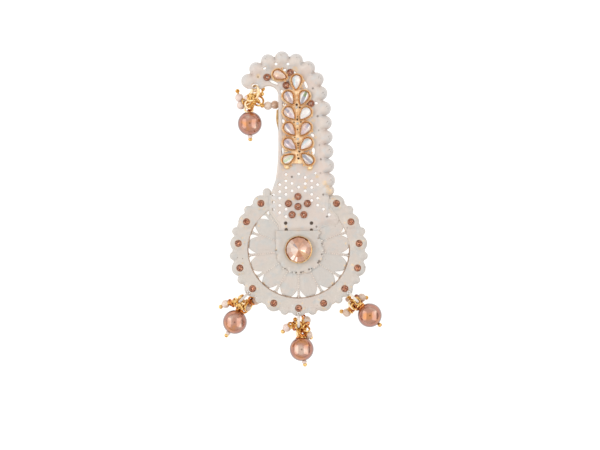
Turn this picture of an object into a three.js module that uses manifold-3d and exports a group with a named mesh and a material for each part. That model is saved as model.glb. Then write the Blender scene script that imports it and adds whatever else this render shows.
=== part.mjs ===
// Turban brooch: a white-enamelled medallion of rosettes and petals, a curled plume set with stones,
// and four bead drops on jump rings. It lies face up, so +Z is up and +Y runs from the bottom drop to
// the top of the plume. Sizes are in millimetres, and the pieces are made about the medallion's middle.
import * as THREE from "three";
import { mergeVertices } from "three/addons/utils/BufferGeometryUtils.js";
import Module from "manifold-3d";

const wasm = await Module();
wasm.setup();

// ---- Heights above the surface that the brooch lies on
const GAP = 0.3; // between pieces that lie on each other
const SEAT_GAP = 0.15; // around a stone in its seat
const WELD = 0.2; // how far joined shapes run into each other
const PAST = 1; // how far a cutting shape runs past what it cuts
const MEDALLION_BACK = 6.2;
const CASTING = 1.4; // thickness of the rim
const RIM_TOP = MEDALLION_BACK + CASTING;
const PLUME_BACK = RIM_TOP + GAP;
const PLUME_THICK = 1.2;
const PLUME_TOP = PLUME_BACK + PLUME_THICK;
const PLUME_MIDDLE = PLUME_BACK + PLUME_THICK / 2;
const RIM_MIDDLE = MEDALLION_BACK + CASTING / 2;
const MEDALLION_REACH = RIM_TOP + 3; // above everything that stands on the medallion

// ---- Medallion
// Rosettes from straight down towards either side: degrees from straight down, and distance from the middle
const ROSETTE_ROWS = [
  { turn: 0, out: 23.5 },
  { turn: 24.9, out: 23.7 },
  { turn: 49.7, out: 24.2 },
  { turn: 72.6, out: 24.7 },
  { turn: 95.8, out: 24.3 },
  { turn: 118.0, out: 23.7 },
  { turn: 140.7, out: 23.9 },
];
const ROSETTE_R = 3.3;
const ROSETTE_BOSS = { foot: 3.0, top: 2.1, height: 0.6 };
const BUD_PATH = { a: 26.5, b: 25.4 };
const BUD_R = 1.35;
const EXTRA_BUD = { x: -12.8, y: 22.9, r: 1.75 };
const RIM_OUTER = { a: 25.6, b: 24.6 };
const RIM_STEP = 2; // degrees between the points of its outline
const RIM_INNER = { a: 20.2, b: 19.3 };
const WHEEL = { a: RIM_INNER.a - GAP, b: RIM_INNER.b - GAP, back: 6.4, top: 7.3 };
const PETALS = 13;
const PETAL = { from: 8.6, to: 19.2, width: 5.6, height: 1.1 };
const RIB = { from: 8.6, width: 0.7, height: 0.45 };
const WINDOW = { base: 2.3, depth: 2.9, fromRib: 0.6, fromRim: 0.7 };
const FLOWER = { r: 8.6, bumps: 16, bumpR: 0.75, bumpPath: 8.45, back: WHEEL.top + GAP, thick: 1.2 };
const CUP = { r: 5.2, inner: 4.95, height: 2.0, floor: 0.5 };
const RIVOLI = { r: 4.75, girdle: 0.8, crown: 1.9 };

// ---- Round stones: girdle radius, girdle height, table radius and full height
const ROUND_STONE = { r: 1.38, girdle: 0.3, table: 0.8, height: 0.95 };
const STONE_SEAT = { r: ROUND_STONE.r + SEAT_GAP, depth: 0.35 };
const FAN_FLOWER = { x: -0.3, y: 17.2, ring: 4.0, around: 5 };
const PLUME_STONES = [
  { x: -12.7, y: 68.9 },
  { x: -3.4, y: 70.8 },
  { x: -5.0, y: 65.7 },
  { x: 4.9, y: 58.4 },
];

// ---- Pear stones in their collets: centre, and the heading of the point in degrees
const PEAR = { length: 5.0, width: 3.5, girdle: 0.5, crown: 1.1, slope: 0.85 };
const PEAR_END = { shoulder: 68, steps: 6, growth: 1.3 }; // round end's start in degrees; growth at the point
const COLLET = { wall: 0.45, height: 1.3, floor: 0.45, clear: 0.2 };
const PEARS = [
  { x: -7.6, y: 69.7, heading: -8 },
  { x: -0.9, y: 67.0, heading: -92 },
  { x: -3.9, y: 60.8, heading: -58 },
  { x: 2.1, y: 60.8, heading: -115 },
  { x: -3.9, y: 54.4, heading: -50 },
  { x: 2.7, y: 54.4, heading: -130 },
  { x: -3.8, y: 48.4, heading: -50 },
  { x: 2.9, y: 48.4, heading: -130 },
  { x: -3.8, y: 42.4, heading: -50 },
  { x: 3.3, y: 42.4, heading: -130 },
  { x: -4.2, y: 36.0, heading: 35 },
  { x: 3.6, y: 35.8, heading: 135 },
];
// Pairs of collets that a strip of gold joins, by their places in PEARS
const BRIDGES = [
  [0, 1], [1, 2], [1, 3], [2, 3], [2, 4], [3, 5], [4, 5], [4, 6], [5, 7], [6, 7],
  [6, 8], [7, 9], [8, 9], [8, 10], [9, 11], [10, 11],
];
const BRIDGE = { width: 1.0, height: 0.5 };

// ---- Plume
const CURL = { x: -12, y: 61.6, r: 3.85, end: 135, steps: 9 };
const LOBE_ARC = { x: -6.4, y: 61.55, r: 15.1, start: 156.6, step: -21.8, count: 8 };
const LOBE_LINE = { from: { x: 10.1, y: 56.5 }, to: { x: 11.8, y: 27.8 }, count: 6 };
const LOBE = { across: 2.95, along: 3.5, height: 2.0, inset: 1.1 };
const LAST_LOBE = { x: 12.1, y: 23.4, r: 2.2, height: 1.2 };
const FOOT_BOTTOM = 7.2;
const FOOT_MIDDLE = { x: 0, y: 17 };
const FOOT_POINTS = 14; // of the rows below, those that lie over the medallion
// Foot and left side, from the foot's right corner round to the start of the curl
const FOOT_EDGE = [
  { x: 13.6, y: 21.6 },
  { x: 11.7, y: 19.2 },
  { x: 12.0, y: 16.4 },
  { x: 13.4, y: 15.0 },
  { x: 15.3, y: 12.6 },
  { x: 15.2, y: 10.4 },
  { x: 12.0, y: 10.1 },
  { x: 8.6, y: 9.3 },
  { x: 7.1, y: FOOT_BOTTOM },
  { x: -7.1, y: FOOT_BOTTOM },
  { x: -7.6, y: 10.5 },
  { x: -11.2, y: 14.8 },
  { x: -11.2, y: 22.0 },
  { x: -10.3, y: 25.0 },
  { x: -9.2, y: 27.8 },
  { x: -8.7, y: 31.8 },
  { x: -8.3, y: 35.6 },
  { x: -8.2, y: 40.0 },
];
// The rim and the wheel are open under the foot, so that its piercings go right through
const UNDER_FOOT = [
  { x: -6.0, y: 9.4 },
  { x: -9.7, y: 15.4 },
  { x: -9.7, y: 27.0 },
  { x: 11.0, y: 27.0 },
  { x: 10.3, y: 19.6 },
  { x: 10.6, y: 15.8 },
  { x: 13.6, y: 12.4 },
  { x: 8.0, y: 11.0 },
  { x: 6.0, y: 9.4 },
];
const TIP = { x: -20.6, y: 64.4 };
const EDGE_WIRE = { width: 0.9, height: 0.45, inset: 0.1, start: 9 };
const PIERCING_R = 0.52;
// Columns of round piercings on the fan: x, and the heights of the holes in it
const PIERCINGS = [
  { x: -9.9, ys: [21.9, 19.0, 16.0] },
  { x: -7.6, ys: [26.0, 23.2, 20.6, 17.7, 14.8] },
  { x: -5.1, ys: [30.1, 27.5, 24.8, 22.1, 13.0] },
  { x: -2.7, ys: [29.1, 26.5, 23.6] },
  { x: 0, ys: [30.3, 25.0] },
  { x: 2.6, ys: [28.9, 26.4, 23.5] },
  { x: 5.2, ys: [27.5, 24.9, 22.1] },
  { x: 7.6, ys: [26.0, 20.6, 17.8] },
  { x: 9.9, ys: [16.2] },
  { x: 12.2, ys: [13.2] },
];
// Larger openings of the arm and curl: centre, half sizes and heading in degrees
const OPENINGS = [
  { x: -9.9, y: 66.9, half: 1.7, across: 0.5, heading: -24 },
  { x: -9.1, y: 74.2, half: 0.55, across: 0.55, heading: 0 },
  { x: -4.3, y: 74.2, half: 0.55, across: 0.55, heading: 0 },
  { x: -6.0, y: 51.4, half: 0.75, across: 0.5, heading: 90 },
  { x: -0.5, y: 55.2, half: 0.8, across: 0.45, heading: 90 },
  { x: 5.6, y: 45.6, half: 0.6, across: 0.5, heading: 60 },
  { x: 5.9, y: 39.4, half: 1.4, across: 0.55, heading: 90 },
  { x: -6.7, y: 39.4, half: 1.5, across: 0.4, heading: 90 },
  { x: 7.0, y: 58.6, half: 0.6, across: 0.5, heading: 0 },
];

// ---- Pin back
const BAR = { x: -6.6, width: 4.0, thick: 0.9, from: 29.0, to: 56.6 };
const HINGE = { width: 3.4, long: 3.2, y: 54.6 };
const CATCH = { width: 3.0, long: 2.4, y: 30.6 };
const PIN = { r: 0.6, rise: 0.75 };
const TAIL = { width: 1.0, from: 49.2, to: 55.2 }; // the bar's ear that shows beside the arm

// ---- Drops
const RING = { r: 2.55, wire: 0.45 };
const RING_HOLE = { r: 0.72, fromStone: 2.35, long: 1.6, wide: 0.9 }; // long and wide: the slot of the leaning ring
const BEAD = { r: 4.85, bore: 0.65 };
const STEM_R = 0.3;
const LOOP = { r: 1.05, wire: 0.3 };
const CAP = { r: 1.1, height: 0.9 };
const SPACER_R = 0.75;
const BALL_R = 0.68;
const PIN_GAP = 0.25; // between a bead and what is threaded next to it
const SEED_R = { pearl: 1.5, small: 1.0, ball: 0.6 };
const SEED_PIN = { wire: 0.25, loop: 1.0, firstLoop: -36, loopStep: -8 };
// Each pin of a seed cluster lists what is threaded on it from the loop outwards. Kinds: pearl, small, ball.
const DROPS = [
  {
    name: "bottom", rosette: 0, heading: -90, lean: 0, spacer: true,
    bead: { x: 1.2, y: -40.1, heading: -78 },
    pins: [
      [["pearl", -4.8, -31.7, 3.0], ["ball", -6.2, -32.9, 2.2]],
      [["ball", -1.9, -28.6, 4.6]],
      [["pearl", 2.9, -28.8, 3.2]],
      [["pearl", 3.7, -33.4, 2.6], ["ball", 4.9, -35.1, 2.0]],
    ],
  },
  {
    name: "left", rosette: -2, heading: 225, lean: 0, spacer: true,
    bead: { x: -25.7, y: -29.2, heading: 238 },
    pins: [
      [["small", -26.6, -21.3, 4.0], ["pearl", -29.4, -22.1, 2.9], ["ball", -31.4, -23.1, 2.4]],
      [["pearl", -21.0, -23.9, 2.4]],
      [["pearl", -17.6, -20.8, 3.0]],
    ],
  },
  {
    name: "right", rosette: 2, heading: -45, lean: 0, spacer: false,
    bead: { x: 28.6, y: -26.5, heading: -44 },
    pins: [
      [["pearl", 25.4, -19.1, 3.4], ["ball", 27.6, -19.2, 2.8]],
      [["pearl", 19.6, -25.7, 2.8], ["ball", 17.4, -25.2, 2.2]],
      [["pearl", 19.9, -20.4, 1.7]],
    ],
  },
  {
    name: "curl", rosette: null, hole: { x: -17.4, y: 65.6 }, heading: -90, lean: -35, spacer: true,
    bead: { x: -19.7, y: 50.7, heading: -88 },
    pins: [
      [["pearl", -23.4, 57.8, 3.6], ["pearl", -23.8, 61.1, 3.4], ["ball", -24.5, 63.6, 3.2]],
      [["small", -21.0, 61.0, 5.6]],
      [["small", -14.9, 57.8, 5.2], ["pearl", -12.3, 57.9, 4.4], ["pearl", -9.2, 58.6, 4.0]],
      [["ball", -14.7, 61.8, 5.6], ["ball", -14.4, 63.6, 5.2]],
    ],
  },
];

// ---- Finishes
const ENAMEL = new THREE.MeshStandardMaterial({ color: 0xe9e0d8, roughness: 0.35, metalness: 0 });
const GOLD = new THREE.MeshStandardMaterial({ color: 0xc8934a, roughness: 0.25, metalness: 1 });
const ROSE = new THREE.MeshStandardMaterial({ color: 0xc98f82, roughness: 0.12, metalness: 0 });
const ROSE_STONE = new THREE.MeshStandardMaterial({ color: 0xa86a52, roughness: 0.1, metalness: 0 });
const PEACH_STONE = new THREE.MeshStandardMaterial({ color: 0xdcae8c, roughness: 0.1, metalness: 0 });
const CLEAR_STONE = new THREE.MeshStandardMaterial({ color: 0xe4dfe2, roughness: 0.08, metalness: 0 });
const PEARL = new THREE.MeshStandardMaterial({ color: 0xe6d9cc, roughness: 0.3, metalness: 0 });

// ---- Solids
const radians = THREE.MathUtils.degToRad;

/** The unit vector in the plane at an angle in degrees. */
const headingOf = (degrees) => new THREE.Vector3(Math.cos(radians(degrees)), Math.sin(radians(degrees)), 0);

/** The point of an ellipse about the middle at an angle in degrees. */
const onEllipse = ({ a, b }, degrees) => ({
  x: a * Math.cos(radians(degrees)),
  y: b * Math.sin(radians(degrees)),
});

/** A closed three.js geometry as a manifold-3d solid. */
function solidFrom(geometry) {
  const bare = geometry.index ? geometry.toNonIndexed() : geometry.clone();
  bare.deleteAttribute("normal");
  bare.deleteAttribute("uv");
  const merged = mergeVertices(bare, 1e-4);
  return new wasm.Manifold(
    new wasm.Mesh({
      numProp: 3,
      vertProperties: new Float32Array(merged.attributes.position.array),
      triVerts: new Uint32Array(merged.index.array),
    }),
  );
}

/** A solid back as a three.js geometry. */
function geometryFrom(solid) {
  const mesh = solid.getMesh();
  const geometry = new THREE.BufferGeometry();
  geometry.setAttribute("position", new THREE.BufferAttribute(mesh.vertProperties, 3));
  geometry.setIndex(new THREE.BufferAttribute(mesh.triVerts, 1));
  return geometry;
}

const joined = (solids) => solids.reduce((whole, part) => whole.add(part));
const cutBy = (solid, tools) => tools.reduce((whole, tool) => whole.subtract(tool), solid);

/** A closed outline in the plane, standing from one height to another. */
function prism(outline, bottom, top) {
  const shape = new THREE.Shape(outline.map(({ x, y }) => new THREE.Vector2(x, y)));
  const geometry = new THREE.ExtrudeGeometry(shape, { depth: top - bottom, bevelEnabled: false });
  return solidFrom(geometry.translate(0, 0, bottom));
}

/** An upright drum or cone frustum at a place. */
function drum(x, y, bottom, top, footR, topR = footR, sides = 12) {
  const geometry = new THREE.CylinderGeometry(topR, footR, top - bottom, sides);
  return solidFrom(geometry.rotateX(Math.PI / 2).translate(x, y, (top + bottom) / 2));
}

/** A block from one height to another, turned in the plane. */
function block(x, y, bottom, top, long, wide, heading = 0) {
  const geometry = new THREE.BoxGeometry(long, wide, top - bottom);
  return solidFrom(geometry.rotateZ(radians(heading)).translate(x, y, (top + bottom) / 2));
}

/** An oval hole's tool, with its long side along a heading. */
function ovalTool({ x, y, half, across, heading }, sides = 8) {
  const geometry = new THREE.CylinderGeometry(1, 1, 20, sides).rotateX(Math.PI / 2);
  return solidFrom(geometry.scale(half, across, 1).rotateZ(radians(heading)).translate(x, y, PLUME_TOP));
}

/** An ellipsoid lying along a heading, kept above a height. */
function dome(x, y, floor, along, across, height, heading, around = 10, up = 6) {
  const ball = new THREE.SphereGeometry(1, around, up).rotateX(Math.PI / 2).scale(along, across, height);
  const whole = solidFrom(ball.rotateZ(radians(heading)).translate(x, y, floor));
  const room = 2 * Math.max(along, across);
  return whole.subtract(block(x, y, floor - 2 * height, floor, 2 * room, 2 * room));
}

/** A ball at a point. */
function ball(at, r, around = 8, up = 4) {
  return solidFrom(new THREE.SphereGeometry(r, around, up).translate(at.x, at.y, at.z));
}

/** The matrix that sets a shape made along +Y on a point, with its +Y along a direction. */
function alongDirection(at, direction) {
  const turn = new THREE.Quaternion().setFromUnitVectors(new THREE.Vector3(0, 1, 0), direction);
  return new THREE.Matrix4().compose(at, turn, new THREE.Vector3(1, 1, 1));
}

/** A straight round rod between two points, which may taper. */
function rod(from, to, r, endR = r, sides = 5) {
  const direction = to.clone().sub(from);
  const length = direction.length();
  const geometry = new THREE.CylinderGeometry(endR, r, length, sides).translate(0, length / 2, 0);
  return solidFrom(geometry.applyMatrix4(alongDirection(from, direction.normalize())));
}

/** A wire loop about a point, in the plane whose normal is given. */
function loop(at, normal, r, wire, sides = 4, steps = 8) {
  const turn = new THREE.Quaternion().setFromUnitVectors(new THREE.Vector3(0, 0, 1), normal);
  const geometry = new THREE.TorusGeometry(r, wire, sides, steps).applyQuaternion(turn);
  return solidFrom(geometry.translate(at.x, at.y, at.z));
}

/** A solid turned on the upright axis from a profile of [radius, height] rows that starts and ends on it. */
function turned(profile, sides) {
  const points = profile.map(([r, height]) => new THREE.Vector2(r, height));
  return new THREE.LatheGeometry(points, sides).rotateX(Math.PI / 2);
}

const brooch = new THREE.Group();

/** Adds one named piece to the brooch. */
function addPiece(name, shape, material) {
  const geometry = shape.isBufferGeometry ? shape : geometryFrom(shape);
  geometry.computeVertexNormals();
  const mesh = new THREE.Mesh(geometry, material);
  mesh.name = name;
  brooch.add(mesh);
}

// ---- Places that several pieces share
const lastPlace = ROSETTE_ROWS.length - 1;
const rosettePlaces = Array.from({ length: 2 * lastPlace + 1 }, (_, i) => i - lastPlace);
const rosetteAngle = (place) => 270 + Math.sign(place) * ROSETTE_ROWS[Math.abs(place)].turn;

/** The middle of the rosette at a place counted from the bottom one. */
function rosetteCentre(place) {
  const { x, y } = headingOf(rosetteAngle(place)).multiplyScalar(ROSETTE_ROWS[Math.abs(place)].out);
  return { x, y };
}

/** The hole that a drop's jump ring passes through. */
function ringHole(drop) {
  if (drop.rosette === null) return drop.hole;
  const centre = rosetteCentre(drop.rosette);
  const out = headingOf(drop.heading);
  return { x: centre.x + out.x * RING_HOLE.fromStone, y: centre.y + out.y * RING_HOLE.fromStone };
}

/** The lobes' centres and headings, round the curl and down the arm's right side. */
function lobePlaces() {
  const places = [];
  for (let i = 0; i < LOBE_ARC.count; i += 1) {
    const heading = LOBE_ARC.start + i * LOBE_ARC.step;
    const out = headingOf(heading);
    places.push({ x: LOBE_ARC.x + LOBE_ARC.r * out.x, y: LOBE_ARC.y + LOBE_ARC.r * out.y, heading });
  }
  for (let i = 0; i < LOBE_LINE.count; i += 1) {
    const share = i / (LOBE_LINE.count - 1);
    const x = THREE.MathUtils.lerp(LOBE_LINE.from.x, LOBE_LINE.to.x, share);
    const y = THREE.MathUtils.lerp(LOBE_LINE.from.y, LOBE_LINE.to.y, share);
    places.push({ x, y, heading: 0 });
  }
  return places;
}

// ---- Medallion
/** An ellipse as an outline, stepping round it one way or the other. */
function ellipseOutline(ellipse, steps, turn = 1) {
  return Array.from({ length: steps }, (_, i) => onEllipse(ellipse, (turn * i * 360) / steps));
}

/** How far a ray from the middle at an angle reaches across a disc, or 0 where it misses. */
function reachAcross({ x, y, r }, degrees) {
  const ray = headingOf(degrees);
  const along = x * ray.x + y * ray.y;
  const aside = x * ray.y - y * ray.x;
  return along > 0 && Math.abs(aside) < r ? along + Math.sqrt(r * r - aside * aside) : 0;
}

/** The rim's outline, with its rosettes and buds. */
function rimOutline() {
  const rosettes = rosettePlaces.map((place) => ({ ...rosetteCentre(place), r: ROSETTE_R }));
  const buds = rosettePlaces.slice(1).map((place) => ({
    ...onEllipse(BUD_PATH, (rosetteAngle(place - 1) + rosetteAngle(place)) / 2),
    r: BUD_R,
  }));
  const bumps = [...rosettes, ...buds, EXTRA_BUD];
  const count = Math.round(360 / RIM_STEP);
  return Array.from({ length: count }, (_, i) => {
    const angle = 270 + i * RIM_STEP;
    const base = onEllipse(RIM_OUTER, angle);
    const reach = Math.max(Math.hypot(base.x, base.y), ...bumps.map((bump) => reachAcross(bump, angle)));
    const out = headingOf(angle);
    return { x: reach * out.x, y: reach * out.y };
  });
}

function medallionRim() {
  const parts = [prism(rimOutline(), MEDALLION_BACK, RIM_TOP)];
  const seatTop = RIM_TOP + ROSETTE_BOSS.height;
  const tools = [prism(ellipseOutline(RIM_INNER, PETALS * 3), MEDALLION_BACK - PAST, RIM_TOP + PAST), underFoot()];
  for (const place of rosettePlaces) {
    const { x, y } = rosetteCentre(place);
    parts.push(drum(x, y, RIM_TOP - WELD, seatTop, ROSETTE_BOSS.foot, ROSETTE_BOSS.top, 10));
    tools.push(drum(x, y, seatTop - STONE_SEAT.depth, seatTop + PAST, STONE_SEAT.r, STONE_SEAT.r, 8));
  }
  for (const drop of DROPS.filter(({ rosette }) => rosette !== null)) {
    const { x, y } = ringHole(drop);
    tools.push(drum(x, y, MEDALLION_BACK - PAST, seatTop + PAST, RING_HOLE.r, RING_HOLE.r, 8));
  }
  return cutBy(joined(parts), tools);
}

/** The corner opening beside a rib, narrowing from the rim towards the middle. */
function windowTool(ribHeading, side) {
  const across = headingOf(ribHeading + 90 * side);
  const inward = headingOf(ribHeading + 180);
  const onRim = onEllipse(WHEEL, ribHeading);
  const corner = (along, out) => ({
    x: onRim.x + across.x * along + inward.x * out,
    y: onRim.y + across.y * along + inward.y * out,
  });
  const near = WINDOW.fromRib;
  const far = near + WINDOW.base;
  const outline = [corner(near, WINDOW.fromRim), corner(far, WINDOW.fromRim), corner(near, WINDOW.depth)];
  return prism(side > 0 ? outline : outline.reverse(), WHEEL.back - PAST, MEDALLION_REACH);
}

/** The opening of the medallion under the plume's foot. */
function underFoot() {
  return prism([...UNDER_FOOT].reverse(), MEDALLION_BACK - PAST, MEDALLION_REACH);
}

/** The foot of the plume and the room round it, which the petals keep clear of. */
function footClearance() {
  const outline = FOOT_EDGE.slice(0, FOOT_POINTS).map(({ x, y }) => {
    const away = new THREE.Vector2(x - FOOT_MIDDLE.x, y - FOOT_MIDDLE.y);
    const grown = away.clone().setLength(away.length() + 2 * GAP);
    return { x: FOOT_MIDDLE.x + grown.x, y: FOOT_MIDDLE.y + grown.y };
  });
  return prism(outline.reverse(), RIM_TOP, MEDALLION_REACH);
}

function petalWheel() {
  const pitch = 360 / PETALS;
  const parts = [prism(ellipseOutline(WHEEL, PETALS * 3), WHEEL.back, WHEEL.top)];
  const windows = [];
  const long = PETAL.to - PETAL.from;
  for (let i = 0; i < PETALS; i += 1) {
    const ribHeading = 270 + i * pitch;
    const petalHeading = ribHeading + pitch / 2;
    const out = headingOf(petalHeading).multiplyScalar((PETAL.from + PETAL.to) / 2);
    parts.push(dome(out.x, out.y, WHEEL.top, long / 2, PETAL.width / 2, PETAL.height, petalHeading, 8, 4));
    const reach = onEllipse(WHEEL, ribHeading);
    const ribLong = Math.hypot(reach.x, reach.y) - RIB.from;
    const along = headingOf(ribHeading).multiplyScalar(RIB.from + ribLong / 2);
    parts.push(block(along.x, along.y, WHEEL.top - WELD, WHEEL.top + RIB.height, ribLong, RIB.width, ribHeading));
    windows.push(windowTool(ribHeading, 1), windowTool(ribHeading, -1));
  }
  const inside = prism(ellipseOutline(WHEEL, PETALS * 3), WHEEL.back, MEDALLION_REACH);
  const flowerRoom = drum(0, 0, WHEEL.top, MEDALLION_REACH, FLOWER.r + FLOWER.bumpR + GAP, undefined, 24);
  return cutBy(joined(parts).intersect(inside), [...windows, footClearance(), underFoot(), flowerRoom]);
}

function centreFlower() {
  const top = FLOWER.back + FLOWER.thick;
  const parts = [drum(0, 0, FLOWER.back, top, FLOWER.r, FLOWER.r, 32)];
  for (let i = 0; i < FLOWER.bumps; i += 1) {
    const out = headingOf((i * 360) / FLOWER.bumps).multiplyScalar(FLOWER.bumpPath);
    parts.push(drum(out.x, out.y, FLOWER.back, top, FLOWER.bumpR, FLOWER.bumpR, 8));
  }
  const room = 2 * FLOWER.r;
  const underPlume = FOOT_BOTTOM - GAP + room / 2;
  return joined(parts).subtract(block(0, underPlume, FLOWER.back - PAST, top + PAST, 2 * room, room));
}

function rivoliCup() {
  const bottom = FLOWER.back + FLOWER.thick + GAP;
  return turned(
    [
      [0, bottom],
      [CUP.r, bottom],
      [CUP.r, bottom + CUP.height],
      [CUP.inner, bottom + CUP.height],
      [CUP.inner, bottom + CUP.floor],
      [0, bottom + CUP.floor],
    ],
    28,
  );
}

function rivoli() {
  const bottom = FLOWER.back + FLOWER.thick + GAP + CUP.floor + SEAT_GAP;
  return turned(
    [[0, bottom], [RIVOLI.r, bottom], [RIVOLI.r, bottom + RIVOLI.girdle], [0, bottom + RIVOLI.girdle + RIVOLI.crown]],
    16,
  );
}

/** A flat-backed round stone with its back at a height. */
function roundStone(x, y, back) {
  const { r, girdle, table, height } = ROUND_STONE;
  const profile = [[0, 0], [r, 0], [r, girdle], [table, height], [0, height]];
  return turned(profile, 8).translate(x, y, back);
}

// ---- Plume
/** The arc of the curl's inside, from the arm round to the tip. */
function curlArc() {
  return Array.from({ length: CURL.steps + 1 }, (_, i) => {
    const out = headingOf((i * CURL.end) / CURL.steps);
    return { x: CURL.x + CURL.r * out.x, y: CURL.y + CURL.r * out.y };
  });
}

/** The plume's outline, clockwise from the foot's right corner, without its lobes. */
function plumeOutline() {
  const inset = LOBE.inset;
  const outer = lobePlaces().map(({ x, y, heading }) => {
    const out = headingOf(heading);
    return { x: x - inset * out.x, y: y - inset * out.y };
  });
  return [...FOOT_EDGE, ...curlArc(), TIP, ...outer];
}

function plumePlate() {
  const parts = [prism([...plumeOutline()].reverse(), PLUME_BACK, PLUME_TOP)];
  for (const { x, y, heading } of lobePlaces()) {
    const out = headingOf(heading);
    const shift = LOBE.along - LOBE.across;
    const bodyX = x - shift * out.x;
    const bodyY = y - shift * out.y;
    const rise = PLUME_THICK + LOBE.height;
    parts.push(dome(bodyX, bodyY, PLUME_BACK, LOBE.along, LOBE.across, rise, heading, 8, 6));
  }
  const { x, y, r, height } = LAST_LOBE;
  parts.push(dome(x, y, PLUME_BACK, r, r, PLUME_THICK + height, 0, 10, 6));
  parts.push(edgeWire());
  const tools = PIERCINGS.flatMap(({ x: column, ys }) =>
    ys.map((row) => drum(column, row, PLUME_BACK - PAST, PLUME_TOP + PAST, PIERCING_R, PIERCING_R, 6)),
  );
  tools.push(...OPENINGS.map((opening) => ovalTool(opening)));
  const hung = DROPS.find(({ rosette }) => rosette === null);
  tools.push(ovalTool({ ...hung.hole, half: RING_HOLE.long, across: RING_HOLE.wide, heading: 0 }));
  return cutBy(joined(parts), tools);
}

/** The raised wire along the plume's left edge, from its foot to the curl. */
function edgeWire() {
  const edge = [...FOOT_EDGE.slice(EDGE_WIRE.start), curlArc()[0]];
  const beside = (distance) =>
    edge.map(({ x, y }, i) => {
      const before = edge[Math.max(i - 1, 0)];
      const after = edge[Math.min(i + 1, edge.length - 1)];
      const run = new THREE.Vector2(after.x - before.x, after.y - before.y).normalize();
      return { x: x + run.y * distance, y: y - run.x * distance };
    });
  const outline = [...beside(EDGE_WIRE.inset + EDGE_WIRE.width), ...beside(EDGE_WIRE.inset).reverse()];
  return prism(outline, PLUME_TOP - WELD, PLUME_TOP + EDGE_WIRE.height);
}

// ---- Pear stones and their collets
/** A pear outline about its middle, with its point along +X, grown by a margin. */
function pearOutline(margin) {
  const r = PEAR.width / 2 + margin;
  const point = PEAR.length / 2 + margin * PEAR_END.growth;
  const roundAt = -PEAR.length / 2 + PEAR.width / 2;
  const outline = [{ x: point, y: 0 }];
  for (let i = 0; i <= PEAR_END.steps; i += 1) {
    const out = headingOf(PEAR_END.shoulder + (i * (360 - 2 * PEAR_END.shoulder)) / PEAR_END.steps);
    outline.push({ x: roundAt + r * out.x, y: r * out.y });
  }
  return outline;
}

/** A pear-shaped outline turned to its heading and moved to its place. */
function placedPear({ x, y, heading }, margin) {
  const out = headingOf(heading);
  return pearOutline(margin).map((p) => ({
    x: x + p.x * out.x - p.y * out.y,
    y: y + p.x * out.y + p.y * out.x,
  }));
}

function pearSettings() {
  const bottom = PLUME_TOP + GAP;
  const outer = COLLET.clear + COLLET.wall;
  const parts = PEARS.map((pear) => prism(placedPear(pear, outer), bottom, bottom + COLLET.height));
  for (const [a, b] of BRIDGES) {
    const from = PEARS[a];
    const to = PEARS[b];
    const run = new THREE.Vector2(to.x - from.x, to.y - from.y);
    const heading = THREE.MathUtils.radToDeg(run.angle());
    const x = (from.x + to.x) / 2;
    const y = (from.y + to.y) / 2;
    parts.push(block(x, y, bottom, bottom + BRIDGE.height, run.length(), BRIDGE.width, heading));
  }
  const seats = PEARS.map((pear) =>
    prism(placedPear(pear, COLLET.clear), bottom + COLLET.floor, bottom + COLLET.height + PAST),
  );
  return cutBy(joined(parts), seats);
}

/** A pear stone: a straight girdle and a crown that slopes up to a small table. */
function pearStone(pear) {
  const bottom = PLUME_TOP + GAP + COLLET.floor + SEAT_GAP;
  const shape = new THREE.Shape(placedPear(pear, 0).map((p) => new THREE.Vector2(p.x, p.y)));
  const geometry = new THREE.ExtrudeGeometry(shape, {
    depth: PEAR.girdle,
    bevelThickness: PEAR.crown,
    bevelSize: PEAR.slope,
    bevelOffset: -PEAR.slope,
    bevelSegments: 1,
  });
  const room = 2 * PEAR.length;
  const below = block(pear.x, pear.y, bottom - room, bottom, room, room);
  return solidFrom(geometry.translate(0, 0, bottom)).subtract(below);
}

// ---- Pin back
function pinBack() {
  const barTop = PLUME_BACK - GAP;
  const barBottom = barTop - BAR.thick;
  const middle = (BAR.from + BAR.to) / 2;
  const parts = [
    block(BAR.x, middle, barBottom, barTop, BAR.width, BAR.to - BAR.from),
    block(BAR.x, HINGE.y, 0, barBottom + WELD, HINGE.width, HINGE.long),
    block(BAR.x, CATCH.y, 0, barBottom + WELD, CATCH.width, CATCH.long),
    block(BAR.x - BAR.width / 2, (TAIL.from + TAIL.to) / 2, barBottom, barTop, TAIL.width, TAIL.to - TAIL.from),
  ];
  const from = new THREE.Vector3(BAR.x, CATCH.y, PIN.rise);
  const to = new THREE.Vector3(BAR.x, HINGE.y, PIN.rise);
  parts.push(rod(from, to, PIN.r, PIN.r, 8));
  return joined(parts);
}

// ---- Drops
/** The centre, outward direction and plane normal of a drop's jump ring. */
function ringFrame(drop) {
  const hole = ringHole(drop);
  const out = headingOf(drop.heading);
  const height = drop.rosette === null ? PLUME_MIDDLE : RIM_MIDDLE;
  const centre = new THREE.Vector3(hole.x, hole.y, height).addScaledVector(out, RING.r);
  const normal = headingOf(drop.heading + 90).applyAxisAngle(out, radians(drop.lean));
  return { centre, out, normal };
}

/** The point of a jump ring's wire at an angle from its outermost point, and the direction away from its centre. */
function onRing({ centre, out, normal }, degrees) {
  const away = out.clone().applyAxisAngle(normal, -radians(degrees));
  return { at: centre.clone().addScaledVector(away, RING.r), away };
}

/** The bead's centre and the direction of its bore, away from the jump ring. */
function beadFrame({ bead }) {
  return { centre: new THREE.Vector3(bead.x, bead.y, BEAD.r), axis: headingOf(bead.heading) };
}

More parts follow.
